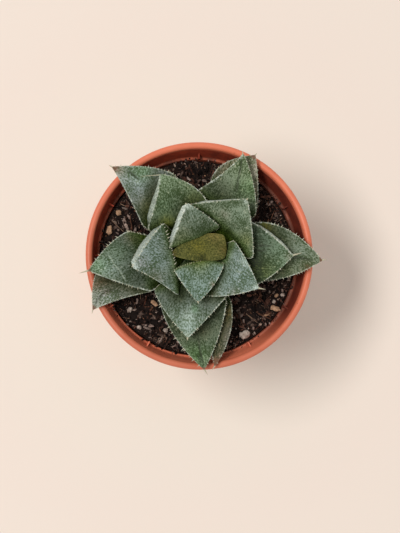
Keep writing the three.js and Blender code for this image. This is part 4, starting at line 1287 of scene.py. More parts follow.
def hull_piece(points):
    """A closed convex mesh round some points."""
    shape = bmesh.new()
    for point in points:
        shape.verts.new(point * MM)
    inner = bmesh.ops.convex_hull(shape, input=shape.verts)["geom_interior"]
    bmesh.ops.delete(shape, geom=[g for g in inner if isinstance(g, bmesh.types.BMVert)], context="VERTS")
    bmesh.ops.triangulate(shape, faces=shape.faces)
    mesh = bpy.data.meshes.new("block")
    shape.to_mesh(mesh)
    shape.free()
    return bpy.data.objects.new("block", mesh)


def blocks_near(room, low, high):
    """Blocks of a leaf's room that reach into a box."""
    blocks = []
    for ring, following in zip(room, room[1:]):
        points = np.vstack([ring, following])
        if (points.max(axis=0) > low).all() and (points.min(axis=0) < high).all():
            blocks.append(hull_piece(points))
    return blocks


print("points that matter for a room:", len(room_places()))

# %% [markdown]
# ### Marks of growth and age, and painted shade
#
# No two faces look alike. Each has its own general tone, and soft patches on it that are bluer,
# greener, paler, olive or rosy, and brown ones where old flesh dries. The darkening patches are
# painted shade, where leaves above and the gaps between them shade a face, and a yellow one at a
# crest is a painted glow.
# Some faces have a crease down the middle, some a pale scratch. They are listed: where
# along the face (0 crest, 1 tip), where across it (1 counter-clockwise margin, -1 clockwise), how
# far they reach in millimetres, their effect and its strength.

# %% Tones and marks, youngest leaf first
FACE_TONES = [
    (94, 91, 43), (113, 127, 113), (94, 102, 81), (112, 123, 110), (107, 117, 104), (98, 107, 82),
    (102, 110, 93), (95, 106, 79), (83, 96, 73), (96, 104, 86), (99, 106, 80), (84, 91, 68),
    (108, 112, 99), (93, 99, 78), (118, 118, 103), (128, 121, 103), (94, 90, 76),
]
# The hidden part is painted dark and saturated green, as the shade of the crevices with light shining through
# the flesh
HIDDEN_SHADED_TONE, FRESH_TONE = (72, 88, 24), (92, 106, 68)
# Where along a leaf the hidden tone gives way to the fresh one, and that to the leaf's own
FRESH_FROM_TO, OWN_FROM_TO = (-0.35, 0.02), (-0.05, 0.18)
# How light a face is painted at its crest and at its tip: older faces darker at the crest, as
# painted shade of the leaves above, and lighter at the tip, as painted light
YOUNG_LIGHTENING, OLD_LIGHTENING, LIGHTENING_FROM_TO = (0.98, 1.05), (0.68, 1.4), (0.1, 0.9)
YOUNG_LEAVES, INNERMOST_LEAVES = 6, 3
PATCH_END, LINE_END_STRENGTH = 1.05, 0.6
# The share of the face that is dry at the tip, for the leaves where it is
DRY_TIPS = {9: 0.04, 11: 0.03, 12: 0.1, 13: 0.05, 14: 0.1, 15: 0.1, 16: 0.15}

# The darkening patches are painted shade, where leaves above and the gaps between them shade a face
BLUISH, BRIGHT, SHADE_PATCH = (1.3, 1.36, 1.52), (1.0, 1.35, 0.95), (0.45, 0.48, 0.36)
PALE, OLIVE, BROWN, ROSY = (2.0, 2.0, 2.1), (1.2, 1.08, 0.5), (1.25, 0.95, 0.85), (1.5, 1.15, 1.3)
# A painted glow: light shining through the flesh at a crest
PAINTED_GLOW = (2.4, 1.9, 1.1)
PATCHES = {
    0: [(0.98, 0, 3, SHADE_PATCH, 0.6), (0.98, 0, 1.5, BROWN, 0.8), (0.6, 0.3, 4, SHADE_PATCH, 0.25),
        (0.05, 0.2, 3, ROSY, 0.35), (0.45, 0.8, 1.6, SHADE_PATCH, 1.2), (0.5, -0.2, 4, OLIVE, 0.7),
        (0.2, -0.8, 2.6, ROSY, 0.6), (0.04, 0.3, 1.6, ROSY, 0.5)],
    1: [(0.57, 0.93, 1.2, BROWN, 0.9), (0.2, 0.2, 4, SHADE_PATCH, 0.3), (-0.05, 0, 4, OLIVE, 0.9)],
    2: [(0.98, 0, 1.7, PALE, 1.2), (0.7, -0.5, 4, BLUISH, 0.5), (0.15, 0.6, 3.5, OLIVE, 0.4)],
    3: [(0.1, -0.3, 2.1, SHADE_PATCH, 1.1), (0.06, -0.6, 2.0, SHADE_PATCH, 1.1), (0.02, -0.85, 1.8, SHADE_PATCH, 1.0),
        (0.97, 0, 1.2, PALE, 0.9), (0.45, 0.85, 2, PALE, 0.5), (0.12, -0.95, 2.5, BROWN, 0.7),
        (0.6, -0.98, 2, BROWN, 0.6), (0.5, 0.1, 5, BLUISH, 0.3)],
    4: [(0.98, 0, 1.6, PALE, 1.1), (0.78, -0.15, 3, ROSY, 0.4), (0.5, -0.3, 5, BLUISH, 0.3),
        (0.5, 0.9, 3, BROWN, 0.6)],
    5: [(-0.06, -0.1, 2.8, SHADE_PATCH, 1.3), (0.97, 0, 1.0, PALE, 0.8), (0.31, 0.33, 2, ROSY, 0.5),
        (0.19, -0.65, 3, OLIVE, 0.6), (0.6, 0, 4, BLUISH, 0.4)],
    6: [(0.12, -0.28, 3.0, SHADE_PATCH, 1.3), (0.97, 0, 1.0, PALE, 0.8), (0.71, 0.05, 4.5, BLUISH, 0.8),
        (0.42, 0.28, 1.3, BRIGHT, 0.8), (0.6, 0.05, 2.5, PALE, 0.4)],
    7: [(0.0, 0.36, 2.5, PAINTED_GLOW, 0.9), (0.3, 0.5, 4, BRIGHT, 0.3), (0.2, -0.6, 4, OLIVE, 0.5),
        (0.15, 0.1, 4, SHADE_PATCH, 0.5)],
    8: [(0.1, -0.33, 2.8, SHADE_PATCH, 1.2), (0.28, -0.65, 5, OLIVE, 0.8), (0.95, -0.05, 1.8, ROSY, 0.9),
        (0.2, 0.1, 3, SHADE_PATCH, 0.5)],
    9: [(0.86, -0.5, 3.5, BRIGHT, 0.5), (0.63, 0.12, 3.5, BLUISH, 0.8), (0.03, -0.7, 3, BROWN, 0.7),
        (0.16, 0.7, 4, SHADE_PATCH, 0.5), (0.3, -0.5, 5, BRIGHT, 0.3)],
    10: [(0.42, -0.68, 5, BRIGHT, 0.6), (0.2, 0.4, 4, SHADE_PATCH, 0.4), (0.5, 0.5, 3, BLUISH, 0.3)],
    11: [(0.45, 0.12, 5, SHADE_PATCH, 0.8), (0.42, 0.2, 3, BROWN, 0.5), (0.79, -0.4, 4, BRIGHT, 0.8),
         (0.66, 0.7, 4, BLUISH, 0.5)],
    12: [(0.61, 0.45, 5, BLUISH, 0.4), (0.44, 0.12, 3.5, BLUISH, 0.5), (0.55, -0.75, 4, BRIGHT, 0.8),
         (0.93, 0, 2.6, BROWN, 0.9), (0.26, -0.22, 2.5, SHADE_PATCH, 0.9), (0.09, 0.5, 4, OLIVE, 0.6),
         (0.53, 0, 0.6, PALE, 0.9)],
    13: [(0.12, 0.85, 2.6, OLIVE, 1.3), (0.12, 0.85, 2.6, ROSY, 0.4), (0.77, -0.93, 2.5, BROWN, 0.9),
         (0.65, 0.25, 4, BLUISH, 0.5), (0.3, -0.5, 5, OLIVE, 0.5)],
    14: [(0.3, 0.1, 5, SHADE_PATCH, 0.5), (0.46, -0.95, 2.2, BROWN, 0.7), (0.31, -0.62, 3.2, BROWN, 0.7),
         (0.33, -0.5, 3, SHADE_PATCH, 0.6), (0.62, 0.45, 2.5, BLUISH, 0.9), (0.53, 0, 1.2, ROSY, 0.8)],
    15: [(0.4, -0.4, 3, SHADE_PATCH, 0.5), (0.1, 0.85, 4, BLUISH, 0.9), (0.17, -0.85, 3.5, BROWN, 0.6)],
    16: [(0.45, -0.5, 4, SHADE_PATCH, 0.7), (0.21, 0.6, 4, OLIVE, 0.9), (0.92, -0.8, 3, BROWN, 0.9)],
}
# Lines on the face, each from a place along and across it to another
GROOVES = {
    8: [(0.15, 0.3, 0.5, 0.45), (0.12, 0.1, 0.4, 0.2)],
    10: [(0.9, 0.3, 0.78, 0.12), (0.78, 0.12, 0.6, 0.05), (0.6, 0.05, 0.3, -0.1)],
    11: [(0.55, 0.03, 0.91, -0.07), (0.72, 0.05, 0.92, 0.15), (0.79, -0.3, 0.9, -0.12)],
    12: [(0.75, -0.35, 0.53, -0.15)],
    13: [(0.53, -0.17, 0.82, -0.3)],
    14: [(0.54, -0.12, 0.79, -0.25), (0.54, -0.12, 0.45, 0.1), (0.79, -0.25, 0.85, -0.1)],
}
SCRATCHES = {
    9: [(0.55, -0.5, 0.53, 0.03), (0.53, 0.03, 0.47, 0.4), (0.47, 0.4, 0.42, 0.8)],
    3: [(0.35, 0.1, 0.5, 0.3)],
}
GROOVE_WIDTH, GROOVE_SHADE_WIDTH, GROOVE_DEPTH, SCRATCH_WIDTH = 0.45, 0.36, 0.3, 0.2

# How wide the pale line of the clockwise and of the counter-clockwise margin is on each leaf
RIMS = [(0, 0), (1.1, 1.0), (0.8, 1.7), (1.1, 1.7), (1.5, 1.3), (2.3, 1.4), (1.1, 1.4), (1.1, 1.3),
        (1.0, 1.7), (1.1, 1.7), (1.0, 2.2), (1.0, 1.1), (1.1, 1.4), (1.0, 1.3), (0.5, 1.3), (1.2, 1.4),
        (1.1, 1.0)]
# How pale a flank is that shows beside a margin
BAND_STRENGTHS = {2: 0.95, 4: 0.6, 5: 0.8, 7: 0.6, 8: 0.7}
# How strongly the grain of the bloom stands out on each leaf, and how much of that on its flanks
WAXINESS = [0.85, 1.25, 1.3, 1.3, 1.3, 1.9, 1.3, 2.0, 2.3, 1.6, 2.0, 1.8, 1.1, 1.3, 1.4, 1.4, 2.6]
FLANK_WAXINESS = 0.7


def tone_at(order, reach):
    """Colour at a reach along the leaf: painted dark where hidden, as shade, olive at the crest, then its
    own.
    """
    fresh_tone = FRESH_TONE if order > 0 else FACE_TONES[order]
    hidden_tone = HIDDEN_SHADED_TONE if order > INNERMOST_LEAVES else FRESH_TONE
    hidden, fresh, own = (np.array(linear(*c)[:3]) for c in (hidden_tone, fresh_tone, FACE_TONES[order]))
    crest = ease(reach, *FRESH_FROM_TO)[:, None]
    grown_share = ease(reach, *OWN_FROM_TO)[:, None]
    lightening = YOUNG_LIGHTENING if order < YOUNG_LEAVES else OLD_LIGHTENING
    paler = blend(*lightening, ease(reach, *LIGHTENING_FROM_TO))[:, None]
    return blend(blend(hidden[None], fresh[None], crest), own[None], grown_share) * paler


def face_place(leaf, u, w):
    """Where a place on the face lies, in millimetres across and along."""
    guide = leaf.face(u)
    return np.array([w * np.linalg.norm(guide["left"] - guide["right"]) / 2, u * leaf.length])


def flat_places(values):
    """Where the points of a leaf lie, in millimetres across and along."""
    return np.column_stack([values["across_mm"], values["along_mm"]])


def patch_shares(leaf, values, patch):
    """How strongly a patch shows at each point: 1 in its middle, fading out in a soft bell."""
    u, w, size = patch[:3]
    offset = flat_places(values) - face_place(leaf, u, w)
    return np.exp(-(offset ** 2).sum(axis=1) / size ** 2) * (values["reach"] < PATCH_END)


def line_shares(leaf, values, lines, width):
    """How strongly thin lines on the face show at each point."""
    shares = np.zeros(len(values["reach"]))
    here = flat_places(values)
    for u0, w0, u1, w1 in lines:
        start, end = face_place(leaf, u0, w0), face_place(leaf, u1, w1)
        step = end - start
        t = np.clip((here - start) @ step / (step @ step), 0, 1)
        distance = np.linalg.norm(here - start - t[:, None] * step, axis=1)
        fading = blend(LINE_END_STRENGTH, 1.0, np.sin(t * math.pi))
        shares = np.maximum(shares, np.exp(-(distance / width) ** 2) * fading)
    return shares * (values["flank"] == 0) * (values["reach"] > 0) * (values["reach"] < 1)


print("patches:", sum(len(patches) for patches in PATCHES.values()))

# %% [markdown]
# ### Leaf flesh
#
# The flesh is deep green under a thin grey wax bloom. The bloom isn't a film: up close it is a
# dense grain of tiny pale bumps and short dashes that run along the leaf, with the green between
# them, thicker in some clouds than in others. The margins are drawn in thin pale lines that come
# and go, and a flank that shows beside a margin is paler and more bluish. One material serves
# every leaf: the mesh carries where each point lies on its leaf, in millimetres, and the leaf's
# own tone with its patches, and the nodes draw the rest from that.

# %% Material of the leaves
MARGIN_DULL, MARGIN_BRIGHT = linear(164, 176, 150), linear(228, 233, 222)
BAND_COLOUR = linear(190, 200, 188)
TOOTH_COLOUR = linear(200, 192, 164)
DRY_COLOUR = linear(116, 80, 60)
# Creases are painted dark, as the shade inside them
GROOVE_SHADE_COLOUR = linear(48, 52, 38)
SCRATCH_COLOUR = linear(176, 188, 168)
# What the leaf's own tone is multiplied by between the grains of wax, under wax and at a dot
GREEN_SHARE, WAX_SHARE, DOT_SHARE = (0.34, 0.46, 0.27, 1.0), (1.6, 1.66, 1.9, 1.0), (2.7, 2.45, 2.9, 1.0)
CLOUD_PART, STREAK_PART = 0.16, 0.2
GROOVE_SHADE_STRENGTH, DRY_STRENGTH, DRY_RAGGEDNESS = 0.75, 0.85, 0.5
BARE_ROUGHNESS, WAXED_ROUGHNESS = 0.48, 0.68

leaf_flesh, tree, shader = new_material("leaf_flesh", 0.6, specular=0.15)
directions = {i: attribute(tree, name) for i, name in enumerate(("across_mm", "along_mm", "down_mm"))}
leaf_place = add_node(tree, "ShaderNodeCombineXYZ", directions).outputs[0]
tone = attribute(tree, "tone", "Color")
waxy = attribute(tree, "waxy")


def stretched(share):
    """The place on the leaf squeezed along it, so that a texture comes out stretched."""
    return on_vectors(tree, "MULTIPLY", {0: leaf_place, 1: (1.0, share, 1.0)})


# The bloom: grain with clouds and lengthwise streaks, and single dots on it
_, clouds = cloudy(tree, leaf_place, scale=0.16, contrast=0.9)
grain = ripples(tree, stretched(0.85), scale=1.7, detail=4.0, roughness=0.8)
streaks = ripples(tree, stretched(0.2), scale=1.7, detail=2.0, roughness=0.6)
thickness = total(tree, grain, swing(tree, clouds, CLOUD_PART), swing(tree, streaks, STREAK_PART))
bloom = total(tree, swing(tree, fade(tree, thickness, 0.4, 0.62), waxy), 0.5)
flesh = mix(tree, bloom, tinted(tree, tone, GREEN_SHARE), tinted(tree, tone, WAX_SHARE))
dots, dot_tint = speckled(tree, stretched(0.55), scale=1.35, size=0.5, share=0.4)
dot_strength = product(tree, dots, fade(tree, dot_tint, 0.2, 1.0, 0.1, 0.7), waxy, clamp=True)
flesh = mix(tree, dot_strength, flesh, tinted(tree, tone, DOT_SHARE))

# Pale flanks, the painted shade of creases, and scratches
band_grain = grey(tree, fade(tree, grain, 0.38, 0.62, 0.45, 1.35))
flesh = mix(tree, attribute(tree, "band"), flesh, tinted(tree, BAND_COLOUR, band_grain))
flesh = mix(tree, product(tree, attribute(tree, "groove"), GROOVE_SHADE_STRENGTH), flesh, GROOVE_SHADE_COLOUR)
broken = product(tree, attribute(tree, "scratch"), fade(tree, grain, 0.4, 0.6, 0.35, 0.95))
flesh = mix(tree, broken, flesh, SCRATCH_COLOUR)

# The pale line of the margin, of changing width and brightness
ragged = ripples(tree, leaf_place, scale=1.3, detail=2.0)
stretches = ripples(tree, leaf_place, scale=0.33, detail=1.0)
edge_width = product(tree, fade(tree, ragged, 0.25, 0.75, 0.12, 0.55), attribute(tree, "rim"))
edge_share = fade(tree, attribute(tree, "edge_mm"), edge_width, 0.0, kind="LINEAR")
edge_share = product(tree, edge_share, fade(tree, stretches, 0.4, 0.6, 0.25, 1.0))
flesh = mix(tree, edge_share, flesh, mix(tree, fade(tree, ragged, 0.35, 0.7), MARGIN_DULL, MARGIN_BRIGHT))

# Dry tips and stains, and horny teeth
dryness = total(tree, attribute(tree, "dry"), swing(tree, ragged, DRY_RAGGEDNESS))
flesh = mix(tree, fade(tree, dryness, 0.35, 0.8, 0.0, DRY_STRENGTH), flesh, DRY_COLOUR)
flesh = mix(tree, attribute(tree, "spine"), flesh, TOOTH_COLOUR)
fill(tree, shader, {"Base Color": flesh,
                    "Roughness": fade(tree, bloom, 0.0, 1.0, BARE_ROUGHNESS, WAXED_ROUGHNESS)})
relief = total(tree, product(tree, streaks, 0.5), product(tree, grain, 0.7), product(tree, dots, 0.4))
raise_relief(tree, shader, relief, distance_mm=0.16)
print("material:", leaf_flesh.name)


# %% Build the leaves
LEAF_SEED = 733
SWELLS, DIMPLES = 0.10, 0.22
# How often swells and dimples come in a millimetre, across and along the leaf
SWELLS_PER_MM, DIMPLES_PER_MM = (0.55, 0.13), (0.16, 0.11)
CALM_MARGIN, ROUGH_FROM_TO = 1.2, (-0.05, 1.0)
STEM_TOP_POINTS, STEM_ROOM_SIDES, BOX_MARGIN = 5, 48, 0.5


def largest_island(piece):
    """Keeps only the biggest connected part of a mesh."""
    shape = bmesh.new()
    shape.from_mesh(piece.data)
    shape.verts.ensure_lookup_table()
    seen, islands = set(), []
    for vertex in shape.verts:
        if vertex.index in seen:
            continue
        island, queue = [], [vertex]
        seen.add(vertex.index)
        while queue:
            here = queue.pop()
            island.append(here)
            for edge in here.link_edges:
                other = edge.other_vert(here)
                if other.index not in seen:
                    seen.add(other.index)
                    queue.append(other)
        islands.append(island)
    islands.sort(key=len, reverse=True)
    doomed = [v for island in islands[1:] for v in island]
    if doomed:
        bmesh.ops.delete(shape, geom=doomed, context="VERTS")
        shape.to_mesh(piece.data)
    shape.free()
    return len(islands)


def ring_values(leaf, rings, reach):
    """What each point of the uncut skin knows about its place on the leaf."""
    reach = np.repeat(reach, RING_COUNT)
    across = np.tile(ACROSS_SHARE, len(rings))
    flank = np.tile(FLANK_SHARE, len(rings))
    stack = np.array(rings)
    half = np.linalg.norm(stack[:, 0] - stack[:, FACE_COUNT - 1], axis=1) / 2
    depth = np.linalg.norm(stack[:, 0] - stack[:, FACE_COUNT + FLANK_COUNT], axis=1)
    half, depth = np.repeat(half, RING_COUNT), np.repeat(depth, RING_COUNT)
    edge = np.where(np.abs(flank) > 0, np.abs(flank) * depth, (1 - np.abs(across)) * half)
    on_band = (flank * np.sign(leaf.entry["keel"][0]) > 0) & (leaf.band[0] > 0)
    edge = np.where(on_band, np.minimum(edge, (1 - np.abs(flank)) * depth), edge)
    return dict(reach=reach, across_mm=across * half, flank=flank, down_mm=flank * depth, edge_mm=edge,
                along_mm=reach * leaf.length, on_band=on_band.astype(float))


def roughen(leaf, points, normals, values):
    """Unevenness of the flesh: shallow lengthwise swells, soft dimples, and the creases."""
    moved = points.copy()
    creases = line_shares(leaf, values, GROOVES.get(leaf.order, []), GROOVE_WIDTH) * GROOVE_DEPTH
    places = flat_places(values)
    for i, point in enumerate(points):
        if not ROUGH_FROM_TO[0] <= values["reach"][i] <= ROUGH_FROM_TO[1]:
            continue
        # Each leaf, and each flank of it, reads another layer of the noise
        at = Vector((*places[i] * SWELLS_PER_MM, leaf.order * 7.7 + values["flank"][i] * 2))
        soft = Vector((*places[i] * DIMPLES_PER_MM, leaf.order * 3.3 + 50))
        calm = ease(values["edge_mm"][i], 0.0, CALM_MARGIN)
        amount = SWELLS * noise.fractal(at, 0.8, 2.0, 2) + DIMPLES * noise.noise(soft)
        moved[i] = point + normals[i] * (amount * calm - creases[i])
    return moved


leaf_random = np.random.default_rng(LEAF_SEED)
leaves = [Leaf(order) for order in range(len(LEAVES))]
rooms = [room_points(leaf) for leaf in leaves]
stem_line = stem_outline()
grown_stem = [(r + (GAP if r > 0 else 0), h + (GAP if i >= len(stem_line) - STEM_TOP_POINTS else 0))
              for i, (r, h) in enumerate(stem_line)]
bodies, values_of = [], []
for leaf in leaves:
    rings, start, end, reach = leaf_rings(leaf)
    points, faces = skin(rings, start, end)
    values = ring_values(leaf, rings, reach)
    values = {key: np.concatenate([row[:1], row, row[-1:]]) for key, row in values.items()}
    name = LEAF_NAMES[leaf.order] + "_flesh"
    body = make_piece(name, points, faces, leaf_flesh)
    normals = np.zeros(len(points) * 3, np.float32)
    body.data.vertices.foreach_get("normal", normals)
    points = roughen(leaf, points, normals.reshape(-1, 3), values)
    body.data.vertices.foreach_set("co", (points * MM).ravel())
    low, high = points.min(axis=0) - BOX_MARGIN, points.max(axis=0) + BOX_MARGIN
    cutters = [block for room in rooms[:leaf.order] for block in blocks_near(room, low, high)]
    cutters.append(make_piece("stem_room", *turn(grown_stem, STEM_ROOM_SIDES, ROSETTE_CENTRE), leaf_flesh))
    carve(body, cutters)
    parts = largest_island(body)
    # A cut changes the points, so each new one takes the values of the nearest old one
    uncut = point_tree(points)
    nearest = [uncut.find(point)[1] for point in points_mm(body)]
    bodies.append(body)
    values_of.append({key: row[nearest] for key, row in values.items()})
    print(name, "blocks cut:", len(cutters), "parts:", parts, "points:", len(body.data.vertices))

# %% [markdown]
# ### Shadowed seams, teeth and bristles
#
# Deep between the leaves every leaf is painted darker where a younger one lies close over it: the
# distance to the leaves above gives that painted shade. Then each margin gets its row of teeth:
# small soft horns, uneven in size and spacing, each row as long as the catalogue says. Rows begin
# on the hidden part, a little before the face, and on two leaves one more row curls round the
# crest. Teeth are real meshes, joined to the leaf, because a bump map can't change the outline. A
# tooth that would stand in another leaf is left out.

# %% Seams
SEAM_REACH, SEAM_FULL = 5.0, 0.2
SEAM_DARKNESS, SEAM_AGES = (0.2, 0.66), (2, 9)
# The painted shade of the seams darkens blue more than green, so that the flesh there stays green,
# as a painted glow of light shining through it
SEAM_TINT = (1.0, 0.95, 1.6)


def surface_of(parts):
    """A search tree over the faces of some meshes."""
    points, faces = [], []
    for part in parts:
        base = len(points)
        points += [v.co for v in part.data.vertices]
        faces += [tuple(base + i for i in p.vertices) for p in part.data.polygons]
    return BVHTree.FromPolygons(points, faces)


surfaces = [surface_of([body]) for body in bodies]
for leaf, body, values in zip(leaves, bodies, values_of):
    distances = np.full(len(body.data.vertices), SEAM_REACH)
    if leaf.order > 0:
        younger = surface_of(bodies[:leaf.order])
        for i, vertex in enumerate(body.data.vertices):
            found = younger.find_nearest(vertex.co, SEAM_REACH * MM)
            if found[0] is not None:
                distances[i] = found[3] / MM
    # Painted shade: the flesh is darker where a younger leaf lies close above
    darkness = blend(*SEAM_DARKNESS, ease(leaf.order, *SEAM_AGES))
    values["open"] = blend(1 - darkness, 1.0, ease(distances, SEAM_FULL, SEAM_REACH))
print("leaves shaded:", len(values_of))

# %% Teeth and bristles
TOOTH_SPACING, TOOTH_SUNK, TOOTH_SIDES = 1.05, 0.3, 5
# Where along a tooth its rings lie and how wide they are
TOOTH_RINGS = ((0.0, 1.0), (0.5, 0.6))
THINNEST_TOOTH, TOOTH_THICKNESS, CREST_TOOTH_THICKNESS = 0.07, 0.14, 0.1
MISSING_TEETH = 0.25
# How a tooth of a margin and one on the crest vary: place, lean to the tip or across, rise, height
JITTERS, LEANS, RISES, HEIGHTS, BEND = (0.1, 0.9), (0.25, 0.7), (-0.15, 0.35), (0.5, 1.35), 0.25
CREST_LEANS, CREST_RISES, CREST_HEIGHTS, CREST_BEND = (-0.4, 0.1), (0.1, 0.5), (0.6, 1.3), -0.2
NECK_TEETH_START, YOUNGEST_TEETH_START, LAST_TOOTH = -0.4, 0.03, 0.985
BAND_TEETH_START, BAND_TEETH_SIZE, NARROWEST_TOOTHED_BAND = 0.25, 0.3, 0.5
# Their size on the leaves that have a row on the crest, where it lies, and from where to where
CREST_TEETH = {4: 0.9, 1: 0.5}
CREST_ROW_REACH, CREST_ROW_ACROSS = -0.02, (-0.98, 0.05, 0.085)
ROOT_TOLERANCE, OTHER_LEAF_REACH = 0.12, 4


def tooth_at(root, direction, length, radius, bend):
    """Points and faces of one tooth: a small five-sided horn that curves to its tip."""
    side = unit(np.cross(direction, UP + 0.01))
    other = np.cross(direction, side)
    points = [root - direction * TOOTH_SUNK]
    for share, narrow in ((-TOOTH_SUNK / length, 1.0), *TOOTH_RINGS):
        centre = root + direction * share * length + bend * max(share, 0) ** 2 * length
        for x, y, _ in circle(radius * narrow, 0, TOOTH_SIDES):
            points.append(centre + side * x + other * y)
    points.append(root + direction * length + bend * length)
    return points, skin_faces(len(TOOTH_RINGS) + 1, TOOTH_SIDES)


def inside_other(point, order):
    """Whether a point lies inside any leaf but its own."""
    at = Vector(point * MM)
    for number, surface in enumerate(surfaces):
        if number != order:
            place, normal, *_ = surface.find_nearest(at, OTHER_LEAF_REACH * MM)
            if place is not None and (at - place).dot(normal) < 0:
                return True
    return False


def tooth_lines(leaf):
    """The lines that carry teeth: both margins, and the keel where it shows beside one."""
    cw_teeth, ccw_teeth = leaf.entry["teeth"]
    first = NECK_TEETH_START if leaf.order > 0 else YOUNGEST_TEETH_START
    lines = [("left", first, ccw_teeth, lambda p: p["left"] - p["right"]),
             ("right", first, cw_teeth, lambda p: p["right"] - p["left"])]
    if leaf.band[0] > NARROWEST_TOOTHED_BAND:
        lines.append(("keel", BAND_TEETH_START, BAND_TEETH_SIZE,
                      lambda p: (p["keel"] - p["middle"]) * (1, 1, 0)))
    return [line for line in lines if line[2] > 0]


def crest_teeth(leaf, random):
    """The teeth where a margin curls round onto the crest, each with its reach along the leaf."""
    if leaf.order not in CREST_TEETH:
        return
    places = ring_at(leaf.guide(CREST_ROW_REACH))[:FACE_COUNT]
    for share in np.arange(*CREST_ROW_ACROSS):
        root = places[int(np.abs(FACE_SHARES - share).argmin())]
        lean = leaf.across * random.uniform(*CREST_LEANS)
        direction = unit(-leaf.along + lean + UP * random.uniform(*CREST_RISES))
        tall = CREST_TEETH[leaf.order] * random.uniform(*CREST_HEIGHTS)
        radius = THINNEST_TOOTH + CREST_TOOTH_THICKNESS * tall
        yield tooth_at(root, direction, tall, radius, leaf.across * CREST_BEND), CREST_ROW_REACH


def margin_teeth(leaf, random):
    """The teeth of the margins, each with its reach along the leaf."""
    for line, start_u, size, away in tooth_lines(leaf):
        length = np.linalg.norm(leaf.face(1.0)[line] - leaf.guide(start_u)[line])
        count = int(length / TOOTH_SPACING)
        for i in range(count):
            if random.random() < MISSING_TEETH:
                continue
            u = start_u + (i + random.uniform(*JITTERS)) / count * (LAST_TOOTH - start_u)
            here = leaf.guide(u)
            root = here[line]
            direction = unit(away(here) * (1, 1, 0)) + leaf.along * random.uniform(*LEANS)
            direction = unit(direction + UP * random.uniform(*RISES))
            tall = size * random.uniform(*HEIGHTS)
            gap = surfaces[leaf.order].find_nearest(Vector(root * MM))[3]
            if gap > ROOT_TOLERANCE * MM or inside_other(root + direction * tall, leaf.order):
                continue
            radius = THINNEST_TOOTH + TOOTH_THICKNESS * tall
            yield tooth_at(root, direction, tall, radius, leaf.along * BEND), u


def grow_teeth(leaf, random):
    """Points and faces of all teeth of a leaf, and how far along it each point is."""
    points, faces, reach = [], [], []
    for (more, horn), u in [*crest_teeth(leaf, random), *margin_teeth(leaf, random)]:
        faces += [tuple(v + len(points) for v in face) for face in horn]
        points += more
        reach += [u] * len(more)
    return points, faces, reach


def join_teeth(body, points, faces):
    """Adds the teeth to a leaf's own mesh."""
    teeth = make_piece("teeth", points, faces, leaf_flesh)
    shape = bmesh.new()
    shape.from_mesh(body.data)
    shape.from_mesh(teeth.data)
    shape.to_mesh(body.data)
    shape.free()
    mesh = teeth.data
    bpy.data.objects.remove(teeth)
    bpy.data.meshes.remove(mesh)


# %% [markdown]
# ### What the mesh tells the material
#
# Now each leaf gets its teeth, and its points get what the material asks for. A point starts from
# the tone of its place along the leaf. The patches multiply it, and the painted shade of the seams
# darkens it. Brown patches and old tips are dry as well, and pale patches take the same pale tone
# as a flank that shows beside a margin. All of this could be painted into an image, but that would
# blur when seen close.

# %% Finish the leaves
LEAF_EDGE_DEGREES = 42
BRISTLE_HORN, BRISTLE_FROM_TO = 0.9, (1.0, 1.2)
TOOTH_HORN, DRYNESS_OFF_HORN = 0.7, 0.6
BROWN_DRYNESS, PALE_BAND, BAND_FROM_TO = 0.6, 0.7, (0.05, 0.3)
DRY_TIP_FADE = 1.6
PATTERN_APART_MM = 60.0


def with_teeth(leaf, body, values):
    """Grows a leaf's teeth and gives their points values too."""
    values["spine"] = ease(values["reach"], *BRISTLE_FROM_TO) * BRISTLE_HORN
    points, faces, reach = grow_teeth(leaf, leaf_random)
    if not points:
        return values
    join_teeth(body, points, faces)
    extra = dict.fromkeys(values, np.zeros(len(points)))
    extra.update(reach=np.array(reach), along_mm=np.array(reach) * leaf.length,
                 spine=np.full(len(points), TOOTH_HORN), open=np.ones(len(points)))
    return {key: np.concatenate([row, extra[key]]) for key, row in values.items()}


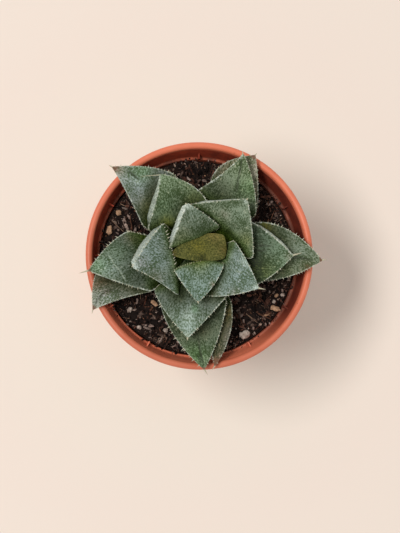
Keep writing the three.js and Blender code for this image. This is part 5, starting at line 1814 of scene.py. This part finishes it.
def patched(leaf, values):
    """Tone, dryness and paleness of each point, from the leaf's patches, its tip and the painted shade of its
    seams.
    """
    tones = tone_at(leaf.order, values["reach"])
    dry, pale = np.zeros(len(tones)), np.zeros(len(tones))
    for patch in PATCHES.get(leaf.order, []):
        share = patch_shares(leaf, values, patch)[:, None] * patch[4]
        tones = tones * blend(np.ones(3), np.array(patch[3]), share)
        if patch[3] == BROWN:
            dry = np.maximum(dry, share[:, 0] * BROWN_DRYNESS)
        if patch[3] == PALE:
            pale = np.maximum(pale, share[:, 0] * PALE_BAND)
    if leaf.order in DRY_TIPS:
        dry = np.maximum(dry, ease(values["reach"], 1 - DRY_TIPS[leaf.order] * DRY_TIP_FADE, 1.0))
    return tones * values["open"][:, None] ** np.array(SEAM_TINT), dry, pale


for leaf, body, values in zip(leaves, bodies, values_of):
    values = with_teeth(leaf, body, values)
    smooth(body.data, LEAF_EDGE_DEGREES)
    tones, dry, pale = patched(leaf, values)
    store(body, "tone", np.hstack([tones, np.ones((len(tones), 1))]), "FLOAT_COLOR")
    store(body, "dry", dry * (1 - DRYNESS_OFF_HORN * values["spine"]))
    band = values["on_band"] * ease(values["reach"], *BAND_FROM_TO) * BAND_STRENGTHS.get(leaf.order, 0)
    store(body, "band", np.maximum(band, pale))
    cw_rim, ccw_rim = RIMS[leaf.order]
    store(body, "rim", np.where(values["across_mm"] > 0, ccw_rim, cw_rim))
    store(body, "waxy", WAXINESS[leaf.order] * np.where(values["flank"] == 0, 1.0, FLANK_WAXINESS))
    store(body, "groove", line_shares(leaf, values, GROOVES.get(leaf.order, []), GROOVE_SHADE_WIDTH))
    store(body, "scratch", line_shares(leaf, values, SCRATCHES.get(leaf.order, []), SCRATCH_WIDTH))
    for key in ("across_mm", "edge_mm", "down_mm", "spine"):
        store(body, key, values[key])
    # Each leaf reads another stretch of the textures
    store(body, "along_mm", values["along_mm"] + leaf.order * PATTERN_APART_MM)
    seat(body, "young_leaf" if leaf.order == 0 else "leaf", LEAF_NAMES[leaf.order])
